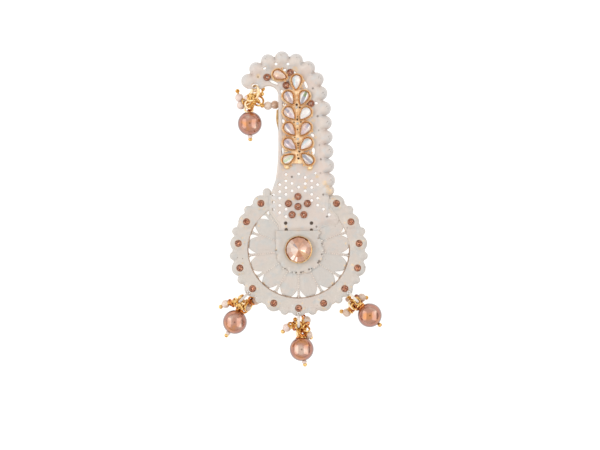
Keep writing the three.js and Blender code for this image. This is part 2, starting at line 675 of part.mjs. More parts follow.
function mainBead(drop) {
  const { centre, axis } = beadFrame(drop);
  const poleAngle = Math.asin(BEAD.bore / BEAD.r);
  const steps = 9;
  const profile = Array.from({ length: steps + 1 }, (_, i) => {
    const angle = -Math.PI / 2 + poleAngle + (i * (Math.PI - 2 * poleAngle)) / steps;
    return new THREE.Vector2(BEAD.r * Math.cos(angle), BEAD.r * Math.sin(angle));
  });
  profile.push(profile[0].clone());
  return new THREE.LatheGeometry(profile, 14).applyMatrix4(alongDirection(centre, axis));
}

function headpin(drop) {
  const frame = ringFrame(drop);
  const { at, away } = onRing(frame, 0);
  const { centre, axis } = beadFrame(drop);
  const ringRuns = new THREE.Vector3().crossVectors(frame.normal, away).normalize();
  const start = at.clone().addScaledVector(away, LOOP.r);
  const onAxis = (distance) => centre.clone().addScaledVector(axis, distance);
  const capFoot = -(BEAD.r + PIN_GAP);
  const capTop = capFoot - CAP.height;
  const spacer = BEAD.r + PIN_GAP + SPACER_R;
  const ballAt = drop.spacer ? spacer + BALL_R : BEAD.r + PIN_GAP + BALL_R;
  const parts = [
    loop(at, ringRuns, LOOP.r, LOOP.wire),
    rod(start, onAxis(capTop), STEM_R),
    rod(onAxis(capTop), onAxis(capFoot), STEM_R, CAP.r, 6),
    rod(onAxis(capTop), onAxis(ballAt), STEM_R),
    ball(onAxis(ballAt), BALL_R, 6, 4),
  ];
  if (drop.spacer) parts.push(ball(onAxis(spacer), SPACER_R));
  return joined(parts);
}

/** The seed pearls of one drop, on pins whose loops lie side by side on the jump ring. */
function seedCluster(drop) {
  const frame = ringFrame(drop);
  const parts = [];
  drop.pins.forEach((pin, i) => {
    const { at, away } = onRing(frame, SEED_PIN.firstLoop + i * SEED_PIN.loopStep);
    const ringRuns = new THREE.Vector3().crossVectors(frame.normal, away).normalize();
    parts.push(loop(at, ringRuns, SEED_PIN.loop, SEED_PIN.wire));
    const first = new THREE.Vector3(...pin[0].slice(1));
    const towards = first.clone().sub(at).projectOnPlane(ringRuns).normalize();
    let from = at.clone().addScaledVector(towards, SEED_PIN.loop);
    for (const [kind, x, y, z] of pin) {
      const to = new THREE.Vector3(x, y, z);
      parts.push(rod(from, to, SEED_PIN.wire, SEED_PIN.wire, 4));
      parts.push(ball(to, SEED_R[kind], kind === "ball" ? 5 : 8));
      from = to;
    }
  });
  return joined(parts);
}

function jumpRing(drop) {
  const { centre, normal } = ringFrame(drop);
  return loop(centre, normal, RING.r, RING.wire, 6, 16);
}

// ---- The brooch
addPiece("plume_plate", plumePlate(), ENAMEL);
addPiece("medallion_rim", medallionRim(), ENAMEL);
addPiece("petal_wheel", petalWheel(), ENAMEL);
addPiece("centre_flower", centreFlower(), ENAMEL);
addPiece("rivoli_cup", rivoliCup(), GOLD);
addPiece("rivoli", rivoli(), PEACH_STONE);
addPiece("pear_settings", pearSettings(), GOLD);
PEARS.forEach((pear, i) => addPiece(`pear_stone_${i + 1}`, pearStone(pear), i === 0 ? PEACH_STONE : CLEAR_STONE));

const rimSeat = RIM_TOP + ROSETTE_BOSS.height - STONE_SEAT.depth + SEAT_GAP;
rosettePlaces.forEach((place, i) => {
  const { x, y } = rosetteCentre(place);
  addPiece(`rim_stone_${i + 1}`, roundStone(x, y, rimSeat), ROSE_STONE);
});
const plateSeat = PLUME_TOP + SEAT_GAP;
addPiece("fan_stone_1", roundStone(FAN_FLOWER.x, FAN_FLOWER.y, plateSeat), ROSE_STONE);
for (let i = 0; i < FAN_FLOWER.around; i += 1) {
  const out = headingOf(90 + (i * 360) / FAN_FLOWER.around).multiplyScalar(FAN_FLOWER.ring);
  const stone = roundStone(FAN_FLOWER.x + out.x, FAN_FLOWER.y + out.y, plateSeat);
  addPiece(`fan_stone_${i + 2}`, stone, ROSE_STONE);
}
PLUME_STONES.forEach(({ x, y }, i) => addPiece(`plume_stone_${i + 1}`, roundStone(x, y, plateSeat), ROSE_STONE));

addPiece("pin_back", pinBack(), GOLD);
for (const drop of DROPS) {
  addPiece(`jump_ring_${drop.name}`, jumpRing(drop), ENAMEL);
  addPiece(`bead_${drop.name}`, mainBead(drop), ROSE);
  addPiece(`headpin_${drop.name}`, headpin(drop), GOLD);
  addPiece(`seeds_${drop.name}`, seedCluster(drop), PEARL);
}

// The part's origin is under the middle of its box.
const box = new THREE.Box3().setFromObject(brooch);
const middle = box.getCenter(new THREE.Vector3());
brooch.position.set(-middle.x, -middle.y, -box.min.z);

export default brooch;
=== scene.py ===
"""The look of a turban brooch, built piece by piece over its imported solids.

Sizes in the dataclasses are in millimetres. Places in the plane are measured from the
middle of the medallion, and heights from the surface that the brooch lies on.
"""

from __future__ import annotations

import logging
import math
from collections.abc import Callable, Iterable, Sequence
from dataclasses import dataclass, field
from enum import Enum

import bmesh
import bpy
import numpy as np
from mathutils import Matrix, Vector
from mathutils.geometry import delaunay_2d_cdt


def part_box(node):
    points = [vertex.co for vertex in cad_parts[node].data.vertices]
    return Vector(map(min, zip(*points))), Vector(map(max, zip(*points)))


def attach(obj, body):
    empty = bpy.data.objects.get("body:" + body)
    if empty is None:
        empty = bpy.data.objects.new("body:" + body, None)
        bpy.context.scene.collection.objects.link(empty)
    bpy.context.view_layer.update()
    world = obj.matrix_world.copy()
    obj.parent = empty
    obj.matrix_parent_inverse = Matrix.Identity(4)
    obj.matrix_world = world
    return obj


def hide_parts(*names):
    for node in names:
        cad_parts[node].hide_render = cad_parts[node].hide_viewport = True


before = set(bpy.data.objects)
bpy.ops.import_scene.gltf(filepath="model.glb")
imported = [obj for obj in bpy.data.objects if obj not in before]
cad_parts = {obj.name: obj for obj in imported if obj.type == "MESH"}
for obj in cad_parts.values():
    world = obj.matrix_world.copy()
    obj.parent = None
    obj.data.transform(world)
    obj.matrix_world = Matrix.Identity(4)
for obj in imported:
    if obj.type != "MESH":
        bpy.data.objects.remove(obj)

LOG = logging.getLogger("brooch")
MM = 0.001
SEED = 7
WIRE_SIDES = 12
BEAD_CUTS = 3
Place = tuple[float, float]
Colour = Spot = tuple[float, float, float]  # a spot is a place and a radius
Row = tuple[float, float, float, float, float]  # a copy's x, y and height, its turn and its swell
Feeds = dict[str | int, object]  # what feeds a node's sockets, by their names or numbers
Points = np.ndarray
Socket, Finish, Piece, Mesh = bpy.types.NodeSocket, bpy.types.Material, bpy.types.Object, bpy.types.Mesh


def middle_of(node: str) -> Vector:
    """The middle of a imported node's box, in metres."""
    low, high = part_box(node)
    return (low + high) / 2


def height_of(node: str, top: bool = False) -> float:
    """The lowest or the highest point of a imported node, in millimetres."""
    low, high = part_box(node)
    return (high if top else low).z / MM


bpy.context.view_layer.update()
MIDDLE = Vector((middle_of("rivoli_cup").x, middle_of("rivoli_cup").y, 0.0))
PLATE_BACK = height_of("plume_plate")
PLATE_TOP = PLATE_BACK + 1.2
RIM_BACK = height_of("medallion_rim")
RIM_TOP = RIM_BACK + 1.4
WHEEL_BACK = height_of("petal_wheel")
FLOWER_BACK = height_of("centre_flower")
CUP_BACK = height_of("rivoli_cup")
SETTINGS_BACK = height_of("pear_settings")


# ---- Plane geometry


def heading(degrees: float) -> Points:
    """The unit vector in the plane at an angle."""
    angle = math.radians(degrees)
    return np.array([math.cos(angle), math.sin(angle)])


def full_turn(count: int) -> Points:
    """Even angles round a circle, in radians."""
    return np.linspace(0, 2 * math.pi, count, endpoint=False)


def raised(flat: Points, z: float | Points) -> Points:
    """Points of the plane, set at a height."""
    return np.column_stack([flat, np.broadcast_to(z, len(flat))])


def ring_of(turns: Points, r: float | Points, z: float | Points) -> Points:
    """Points about the middle at some angles, radii and heights."""
    return raised(np.column_stack([r * np.cos(turns), r * np.sin(turns)]), z)


def away_from(points: Points, x: float = 0.0, y: float = 0.0) -> Points:
    """How far points are from a place."""
    return np.hypot(points[:, 0] - x, points[:, 1] - y)


def bearing(points: Points) -> Points:
    """The headings of points from the middle, in degrees."""
    return np.degrees(np.arctan2(points[:, 1], points[:, 0]))


def ellipse(a: float, b: float, count: int) -> Points:
    """A closed ellipse about the middle, by half its width and half its height."""
    angles = full_turn(count)
    return np.column_stack([a * np.cos(angles), b * np.sin(angles)])


def disc_loop(x: float, y: float, r: float, count: int = 16) -> Points:
    """A circle round a place as a loop of points."""
    return ellipse(r, r, count) + np.array([x, y])


def turned(loop: Points, x: float, y: float, turn: float, swell: float = 1.0) -> Points:
    """A loop about the middle, turned to a heading, swelled and set at a place."""
    along, side = heading(turn) * swell, heading(turn + 90) * swell
    return loop[:, :1] * along + loop[:, 1:] * side + np.array([x, y])


def area_of(loop: Points) -> float:
    """The area inside a loop, negative where it runs clockwise."""
    after = np.roll(loop, -1, axis=0)
    return float(np.sum(loop[:, 0] * after[:, 1] - after[:, 0] * loop[:, 1]) / 2)


def wound(loop: Points, anticlockwise: bool) -> Points:
    """The loop running the way asked for."""
    return loop if (area_of(loop) > 0) == anticlockwise else loop[::-1]


def stepped(loop: Points, step: float) -> Points:
    """The loop with its corners kept and no gap longer than a step.

    Args:
        loop: The corners of a closed loop.
        step: The longest gap allowed.

    Returns:
        The denser loop.
    """
    points = []
    for start, end in zip(loop, np.roll(loop, -1, axis=0)):
        count = max(1, math.ceil(np.linalg.norm(end - start) / step))
        points.extend(start + (end - start) * i / count for i in range(count))
    return np.array(points)


def softened(loop: Points, rounds: int = 2) -> Points:
    """A closed loop with its corners cut a quarter of the way along each side, so many times over.

    Args:
        loop: A closed loop.
        rounds: How many times its corners are cut.

    Returns:
        The softer loop.
    """
    for _ in range(rounds):
        after = np.roll(loop, -1, axis=0)
        loop = np.stack([loop * 0.75 + after * 0.25, loop * 0.25 + after * 0.75], axis=1).reshape(-1, 2)
    return loop


def edges_of(loops: Sequence[Points]) -> tuple[Points, Points]:
    """The starts and ends of every side of some loops."""
    return np.vstack(loops), np.vstack([np.roll(loop, -1, axis=0) for loop in loops])


def inside(points: Points, loops: Sequence[Points]) -> Points:
    """Which points lie within an outline and outside its openings.

    Args:
        points: The points to test.
        loops: The outline and its openings, in any order.

    Returns:
        One truth value for each point.
    """
    start, end = edges_of(loops)
    result = []
    for part in np.array_split(points, max(1, len(points) // 400)):
        x, y = part[:, :1], part[:, 1:]
        spans = (start[:, 1] > y) != (end[:, 1] > y)
        rise = np.where(end[:, 1] == start[:, 1], 1e-12, end[:, 1] - start[:, 1])
        crossing = start[:, 0] + (y - start[:, 1]) * (end[:, 0] - start[:, 0]) / rise
        result.append(np.sum(spans & (x < crossing), axis=1) % 2 == 1)
    return np.concatenate(result)


def gap_to(points: Points, loops: Sequence[Points]) -> Points:
    """How far each point is from the nearest side of some loops.

    Args:
        points: The points.
        loops: The loops.

    Returns:
        One distance for each point.
    """
    start, end = edges_of(loops)
    run = end - start
    square = np.maximum(np.sum(run * run, axis=1), 1e-12)
    result = []
    for part in np.array_split(points, max(1, len(points) // 400)):
        away = part[:, None, :] - start
        share = np.clip(np.sum(away * run, axis=2) / square, 0, 1)
        result.append(np.min(np.linalg.norm(away - share[:, :, None] * run, axis=2), axis=1))
    return np.concatenate(result)


def gap_to_line(points: Points, line: Points) -> Points:
    """How far each point is from the nearest side of a line that doesn't close."""
    return gap_to(points, [np.vstack([line, line[-2:0:-1]])])


def smoothed(value: Points, low: float, high: float) -> Points:
    """Zero below one bound, one above the other, and a smooth rise between them."""
    share = np.clip((value - low) / (high - low), 0, 1)
    return share * share * (3 - 2 * share)


# ---- Meshes


class Draft:
    """A mesh in the making, in millimetres about the medallion's middle.

    Every vertex carries the marks that the finishes read, each of which is zero where nothing is said.
    """

    # The pit mark carries painted shade in hollows, and the tone mark carries painted shade at the plume's
    # lobe ends.
    MARKS = ("lip", "worn", "pit", "tone")
    SHARP = 38.0
    MERGED = 1e-3 * MM

    def __init__(self) -> None:
        """Starts with nothing in it."""
        self._points: list[Points] = []
        self._faces: list[list[int]] = []
        self._finish: list[int] = []
        self._marks: dict[str, list[Points]] = {mark: [] for mark in self.MARKS}
        self._count = 0

    def add(
        self, points: Points, faces: Iterable[Sequence[int]], finish: int = 0, **marks: float | Points
    ) -> None:
        """Adds some vertices and faces.

        Args:
            points: The vertices.
            faces: The faces, counting the vertices from zero.
            finish: Which of the object's finishes the faces take.
            **marks: The marks of the vertices, one value or one for each.
        """
        points = np.asarray(points, float).reshape(-1, 3)
        before = len(self._faces)
        self._faces.extend([int(i) + self._count for i in face] for face in faces)
        self._finish.extend([finish] * (len(self._faces) - before))
        self._points.append(points)
        for mark in self.MARKS:
            self._marks[mark].append(np.broadcast_to(np.asarray(marks.get(mark, 0.0), float), len(points)))
        self._count += len(points)

    def loft(self, rings: Sequence[Points], finish: int = 0, capped: bool = True, **marks: float) -> None:
        """Joins closed rings of equal counts into a skin.

        Args:
            rings: The rings in order, each an array of points.
            finish: Which finish the faces take.
            capped: Whether the first and last rings are filled in. If not, the last joins the first.
            **marks: The marks of the vertices.
        """
        count = len(rings[0])
        faces: list[list[int]] = []
        for i in range(len(rings) - capped):
            a, b = i * count, ((i + 1) % len(rings)) * count
            faces.extend([a + j, a + (j + 1) % count, b + (j + 1) % count, b + j] for j in range(count))
        points = np.vstack(rings)
        if capped:
            middles = [rings[0].mean(axis=0), rings[-1].mean(axis=0)]
            points = np.vstack([points, *middles])
            low, high, last = len(points) - 2, len(points) - 1, (len(rings) - 1) * count
            faces.extend([low, (j + 1) % count, j] for j in range(count))
            faces.extend([high, last + j, last + (j + 1) % count] for j in range(count))
        self.add(points, faces, finish, **marks)

    def ball(
        self, centre: Sequence[float], radii: float | Sequence[float], around: int = 16, up: int = 10,
        finish: int = 0, **marks: float,
    ) -> None:
        """Adds a ball.

        Args:
            centre: Its middle.
            radii: Its radius, or one along each axis.
            around: How many sides it has.
            up: How many rows it has.
            finish: Which finish it takes.
            **marks: The marks of its vertices.
        """
        centre, radii = np.array(centre), np.broadcast_to(radii, 3)
        rows = np.linspace(-math.pi / 2, math.pi / 2, up + 1)[1:-1]
        turns, reach = full_turn(around), np.array([0, 0, radii[2]])
        rings = [ring_of(turns, math.cos(row), math.sin(row)) * radii + centre for row in rows]
        self.loft(rings, finish, **marks)
        self._points[-1][-2:] = centre - reach, centre + reach

    def mesh(self, name: str, place: Vector, sharp: float) -> Mesh:
        """The mesh, with its faces turned outwards.

        Args:
            name: The mesh's name.
            place: Where the draft's middle goes, in metres.
            sharp: The angle in degrees past which an edge is drawn sharp.

        Returns:
            A mesh in metres.
        """
        mesh = bpy.data.meshes.new(name)
        points = np.vstack(self._points) * MM + np.array(place)
        mesh.from_pydata(points.tolist(), [], self._faces)
        for mark, values in self._marks.items():
            mesh.attributes.new(mark, "FLOAT", "POINT").data.foreach_set("value", np.concatenate(values))
        mesh.polygons.foreach_set("material_index", self._finish)
        shell = bmesh.new()
        shell.from_mesh(mesh)
        bmesh.ops.remove_doubles(shell, verts=shell.verts, dist=self.MERGED)
        bmesh.ops.dissolve_degenerate(shell, edges=shell.edges, dist=self.MERGED / 10)
        bmesh.ops.recalc_face_normals(shell, faces=shell.faces)
        shell.to_mesh(mesh)
        shell.free()
        mesh.shade_smooth()
        mesh.set_sharp_from_angle(angle=math.radians(sharp))
        return mesh

    def piece(self, name: str, finishes: Sequence[Finish], sharp: float = SHARP) -> Piece:
        """The finished object, in its place on the brooch.

        Args:
            name: The piece's name.
            finishes: The materials that the faces' numbers mean.
            sharp: The angle in degrees past which an edge is drawn sharp.

        Returns:
            The new object.
        """
        mesh = self.mesh(name, MIDDLE, sharp)
        for finish in finishes:
            mesh.materials.append(finish)
        return shown(name, mesh)

    @classmethod
    def ball_unit(
        cls, name: str, radii: Sequence[float], around: int, up: int, x: float = 0.0, **marks: float
    ) -> Piece:
        """A ball on its own for a tree to repeat, set forward from the middle by x.

        Args:
            name: The shape's name.
            radii: Its radius along each axis.
            around: How many sides it has.
            up: How many rows it has.
            x: How far it is set forward.
            **marks: The marks of its vertices.

        Returns:
            The ball as an object.
        """
        made = cls()
        made.ball((x, 0, 0), radii, around, up, **marks)
        return made.unit(name)

    def unit(self, name: str, sharp: float = SHARP) -> Piece:
        """The shape on its own at the origin, for a tree to repeat."""
        return shown(name, self.mesh(name, Vector(), sharp))


def shown(name: str, mesh: Mesh) -> Piece:
    """A new object in the scene that shows a mesh.

    Args:
        name: The object's name.
        mesh: The mesh.

    Returns:
        The new object.
    """
    made = bpy.data.objects.new(name, mesh)
    bpy.context.collection.objects.link(made)
    return made


def present(piece: Piece, slot: str, *nodes: str) -> None:
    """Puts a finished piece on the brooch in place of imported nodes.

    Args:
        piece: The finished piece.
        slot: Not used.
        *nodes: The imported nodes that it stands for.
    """
    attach(piece, "root")
    if nodes:
        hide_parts(*nodes)
    LOG.info("%s: %d faces, for %s", piece.name, len(piece.data.polygons), ", ".join(nodes) or "trim")


@dataclass
class Casting:
    """A flat-backed casting with a shaped top.

    Attributes:
        outline: Its outer edge.
        back: The height of its back.
        top: The height of its top, from points and their distances from an edge.
        openings: The edges of what is cut through it.
        sunk: Places and radii of blind holes.
        patches: Places and radii where the enamel has worn through.
        round_over: The radius of its edges.
        spacing: How far apart the points of its top are.
        sink_depth: How deep the blind holes are.
        pit_shade: How dark the painted shade in the blind holes is.
        full_r: The radius from which a blind hole is at its deepest, and its painted shade at its darkest.
        shade: The tone mark at points, where it isn't even.
        uneven: How far its top waves, as cast.
    """

    STEP = 0.3  # between the points of its edges
    ROWS = (0.07, 0.17, 0.3)  # how far in from an edge its top has rows of points
    LIP = 0.6  # how far the lip mark reaches in from an edge

    outline: Points
    back: float
    top: Callable[[Points, Points], Points]
    openings: list[Points] = field(default_factory=list)
    sunk: Sequence[Spot] = ()
    patches: Sequence[Spot] = ()
    round_over: float = 0.3
    spacing: float = 0.45
    sink_depth: float = 0.9
    pit_shade: float = 1.0
    full_r: float = 0.1
    shade: Callable[[Points], Points] | None = None
    uneven: float = 0.05

    def _loops(self) -> list[Points]:
        """Its outer edge anticlockwise, then its openings clockwise."""
        outer = wound(stepped(self.outline, self.STEP), True)
        return [outer, *[wound(stepped(loop, self.STEP), False) for loop in self.openings]]

    def _sampled(self, loops: list[Points]) -> Points:
        """Points over its top: rows along each edge, rings in each blind hole, and a grid between them.

        Args:
            loops: Its edges.

        Returns:
            The points.
        """
        rows = []
        for loop in loops:
            run = np.roll(loop, -1, axis=0) - np.roll(loop, 1, axis=0)
            inward = np.column_stack([-run[:, 1], run[:, 0]])
            inward /= np.maximum(np.linalg.norm(inward, axis=1), 1e-9)[:, None]
            for depth in self.ROWS:
                row = loop + inward * depth
                kept = inside(row, loops) & (gap_to(row, loops) > depth * 0.93)
                rows.append(row[kept])
        for x, y, r in self.sunk:
            for share in (0.45, 0.88, 1.0):
                ring = disc_loop(x, y, r * share, 18)
                rows.append(ring[inside(ring, loops) & (gap_to(ring, loops) > 0.05)])
        low, high = loops[0].min(axis=0), loops[0].max(axis=0)
        step_y = self.spacing * math.sqrt(3) / 2
        grid = []
        for i, y in enumerate(np.arange(low[1], high[1], step_y)):
            xs = np.arange(low[0] + (i % 2) * self.spacing / 2, high[0], self.spacing)
            grid.append(raised(xs[:, None], y))
        between = np.vstack(grid)
        between = between[inside(between, loops)]
        keep = gap_to(between, loops) > self.ROWS[-1] + self.spacing * 0.4
        for x, y, r in self.sunk:
            keep &= np.abs(away_from(between, x, y) - r) > 0.25
        rows.append(between[keep])
        return np.vstack(rows)

    @staticmethod
    def _sides(loops: list[Points]) -> list[tuple[int, int]]:
        """The sides of some loops, as pairs of points counted through all of them.

        Args:
            loops: The loops.

        Returns:
            The pairs.
        """
        sides, start = [], 0
        for loop in loops:
            sides.extend((start + i, start + (i + 1) % len(loop)) for i in range(len(loop)))
            start += len(loop)
        return sides

    def _filled(self, loops: list[Points], extra: Points) -> tuple[Points, Points]:
        """Triangles between loops, through extra points.

        Args:
            loops: The edges, whose points come first in the result.
            extra: Points between them.

        Returns:
            The points and the triangles.
        """
        points = np.vstack([*loops, extra])
        flat = [Vector(p) for p in points]
        verts, _, faces, origins, _, _ = delaunay_2d_cdt(flat, self._sides(loops), [], 0, 1e-6)
        new = np.array([v[:] for v in verts])
        back = np.array([origin[0] if origin else -1 for origin in origins])
        triangles = np.array([f for f in faces if len(f) == 3])
        triangles = back[triangles[inside(new[triangles].mean(axis=1), loops)]]
        return points, triangles[(triangles >= 0).all(axis=1)]

    def draft(self) -> Draft:
        """The casting as closed faces, with its top and sides of finish 0 and its back of finish 1.

        Returns:
            The casting.
        """
        loops = self._loops()
        points, triangles = self._filled(loops, self._sampled(loops))
        gap = gap_to(points, loops)
        gap[: sum(len(loop) for loop in loops)] = 0
        height = self.top(points, gap)
        fall = self.round_over - np.minimum(gap, self.round_over)
        height = height - self.round_over + np.sqrt(np.maximum(self.round_over**2 - fall**2, 0))
        # The pit mark sinks each blind hole and darkens it with painted shade, more in wider holes.
        pit = np.zeros(len(points))
        for x, y, r in self.sunk:
            pit = np.maximum(pit, (away_from(points, x, y) < r * 0.95) * min(1.0, (r / self.full_r) ** 2))
        x, y = points.T
        waves = np.sin(1.7 * x + 0.6 * y) + np.sin(2.1 * y - 0.9 * x + 1.0) + np.sin(2.9 * x - 1.3 * y + 2.0)
        height = np.maximum(height + self.uneven * waves / 2 - pit * self.sink_depth, self.back + 0.1)
        worn = np.zeros(len(points))
        for x, y, r in self.patches:
            worn = np.maximum(worn, 1 - smoothed(away_from(points, x, y), r * 0.4, r))
        draft, top = Draft(), raised(points, height)
        tone = self.shade(points) if self.shade else np.zeros(len(points))
        lip = 1 - smoothed(gap, 0, self.LIP)
        draft.add(top, triangles, lip=lip, worn=worn, pit=pit * self.pit_shade, tone=tone)
        sides = self._sides(loops)
        count = len(sides)
        wall = np.vstack([top[:count], raised(points[:count], self.back)])
        walls = [[a + count, b + count, b, a] for a, b in sides]
        draft.add(wall, walls, lip=0.8, tone=np.tile(tone[:count], 2))
        flat, under = self._filled(loops, np.empty((0, 2)))
        draft.add(raised(flat, self.back), under[:, ::-1], 1, lip=1.0)
        return draft


# ---- Trees of nodes


class Nodes:
    """A tree of nodes in the making, for a shape, a finish or the sky."""

    def __init__(self, tree: bpy.types.NodeTree) -> None:
        """Takes up the tree."""
        self.tree = tree

    def feed(self, socket: Socket, value: object) -> None:
        """Links a socket from another one, or sets it to a value or a colour.

        Args:
            socket: The socket to feed.
            value: A socket to link from, a colour for a socket that takes one, or a plain value.
        """
        if isinstance(value, Socket):
            self.tree.links.new(value, socket)
        else:
            socket.default_value = (*value, 1.0) if socket.type == "RGBA" else value

    def node(self, kind: str, inputs: Feeds | None = None, **settings: object) -> bpy.types.Node:
        """Adds a node.

        Args:
            kind: Its type.
            inputs: What feeds its sockets, by their names or numbers.
            **settings: Its own settings.

        Returns:
            The new node.
        """
        made = self.tree.nodes.new(kind)
        for name, value in settings.items():
            setattr(made, name, value)
        for name, value in (inputs or {}).items():
            named = (socket for socket in made.inputs if socket.name == name and socket.enabled)
            self.feed(made.inputs[name] if isinstance(name, int) else next(named), value)
        return made

    def maths(self, operation: str, a: object, b: object = 0.0) -> Socket:
        """One sum, kept between zero and one."""
        return self.node("ShaderNodeMath", {0: a, 1: b}, operation=operation, use_clamp=True).outputs[0]

    def step(self, value: Socket, low: float, high: float) -> Socket:
        """A smooth rise from zero to one as a value goes from one bound to the other."""
        inputs = {"Value": value, "From Min": low, "From Max": high}
        return self.node("ShaderNodeMapRange", inputs, interpolation_type="SMOOTHSTEP").outputs["Result"]

    def mix(self, share: object, first: object, second: object) -> Socket:
        """Two colours mixed by a share, each a socket or a colour."""
        return self.node("ShaderNodeMix", {0: share, 6: first, 7: second}, data_type="RGBA").outputs[2]

    def ramp(self, value: Socket, stops: Sequence[tuple[float, Colour]]) -> Socket:
        """Colours along a value.

        Args:
            value: The value, from zero to one.
            stops: Where each colour stands.

        Returns:
            The colour's socket.
        """
        made = self.node("ShaderNodeValToRGB", {"Fac": value})
        elements = made.color_ramp.elements
        while len(elements) < len(stops):
            elements.new(0.5)
        for element, (at, colour) in zip(elements, stops):
            element.position, element.color = at, (*colour, 1.0)
        return made.outputs["Color"]


class Growth(Nodes):
    """A Geometry Nodes tree that repeats a shape, whose sizes are inputs with names."""

    def __init__(self, name: str) -> None:
        """Starts a tree that takes a geometry and gives one back.

        Args:
            name: The tree's name.
        """
        super().__init__(bpy.data.node_groups.new(name, "GeometryNodeTree"))
        self.tree.interface.new_socket(name="Geometry", in_out="OUTPUT", socket_type="NodeSocketGeometry")
        self._start = self.tree.nodes.new("NodeGroupInput")
        self._end = self.tree.nodes.new("NodeGroupOutput")
        self.base = self.input("Geometry", "NodeSocketGeometry")

    def input(self, name: str, kind: str = "NodeSocketFloat") -> Socket:
        """A new named input of the tree, as the socket to link from."""
        self.tree.interface.new_socket(name=name, in_out="INPUT", socket_type=kind)
        return self._start.outputs[name]

    def mark(self, name: str) -> Socket:
        """The value of a mark that the base's points carry."""
        made = self.node("GeometryNodeInputNamedAttribute", {"Name": name}, data_type="FLOAT")
        return made.outputs["Attribute"]

    def end(self, geometry: Socket) -> bpy.types.NodeTree:
        """Closes the tree: its copies are made real and take the finish that is handed in.

        Args:
            geometry: The copies.

        Returns:
            The finished tree.
        """
        real = self.node("GeometryNodeRealizeInstances", {"Geometry": geometry})
        finish = self.input("Finish", "NodeSocketMaterial")
        dressed = self.node("GeometryNodeSetMaterial", {"Geometry": real.outputs[0], "Material": finish})
        self.feed(self._end.inputs["Geometry"], dressed.outputs[0])
        return self.tree


def copies_tree() -> bpy.types.NodeTree:
    """A tree that sets a copy of a shape on each point, turned and swelled by the point's marks.

    Returns:
        The tree.
    """
    growth = Growth("copies_on_points")
    shape, size = growth.input("Shape", "NodeSocketObject"), growth.input("Size")
    info = growth.node("GeometryNodeObjectInfo", {"Object": shape}, transform_space="ORIGINAL")
    turn = growth.node("ShaderNodeCombineXYZ", {"Z": growth.mark("turn")})
    rotation = growth.node("FunctionNodeEulerToRotation", {"Euler": turn.outputs[0]})
    swell = growth.node("ShaderNodeMath", {0: growth.mark("swell"), 1: size}, operation="MULTIPLY")
    copies = {"Points": growth.base, "Instance": info.outputs["Geometry"]}
    copies |= {"Rotation": rotation.outputs[0], "Scale": swell.outputs[0]}
    return growth.end(growth.node("GeometryNodeInstanceOnPoints", copies).outputs[0])


def beads_tree() -> bpy.types.NodeTree:
    """A tree that threads small round beads along lines.

    Returns:
        The tree.
    """
    growth = Growth("beads_along_lines")
    radius, step = growth.input("Radius"), growth.input("Step")
    line = growth.node("GeometryNodeMeshToCurve", {"Mesh": growth.base})
    even = growth.node("GeometryNodeResampleCurve", {"Curve": line.outputs[0], "Length": step}, mode="LENGTH")
    bead = growth.node("GeometryNodeMeshIcoSphere", {"Radius": radius, "Subdivisions": BEAD_CUTS})
    smooth = growth.node("GeometryNodeSetShadeSmooth", {"Geometry": bead.outputs["Mesh"]})
    beads = {"Points": even.outputs[0], "Instance": smooth.outputs[0]}
    return growth.end(growth.node("GeometryNodeInstanceOnPoints", beads).outputs[0])


def wires_tree() -> bpy.types.NodeTree:
    """A tree that draws round wire along lines, thinner or thicker by the line's own mark.

    Returns:
        The tree.
    """
    growth = Growth("wire_along_lines")
    radius = growth.input("Radius")
    line = growth.node("GeometryNodeMeshToCurve", {"Mesh": growth.base}).outputs[0]
    girth = growth.node("GeometryNodeSetCurveRadius", {"Curve": line, "Radius": growth.mark("girth")})
    section = growth.node("GeometryNodeCurvePrimitiveCircle", {"Radius": radius, "Resolution": WIRE_SIDES})
    swept = {"Curve": girth.outputs[0], "Profile Curve": section.outputs["Curve"], "Fill Caps": True}
    skin = growth.node("GeometryNodeCurveToMesh", swept)
    return growth.end(growth.node("GeometryNodeSetShadeSmooth", {"Geometry": skin.outputs[0]}).outputs[0])


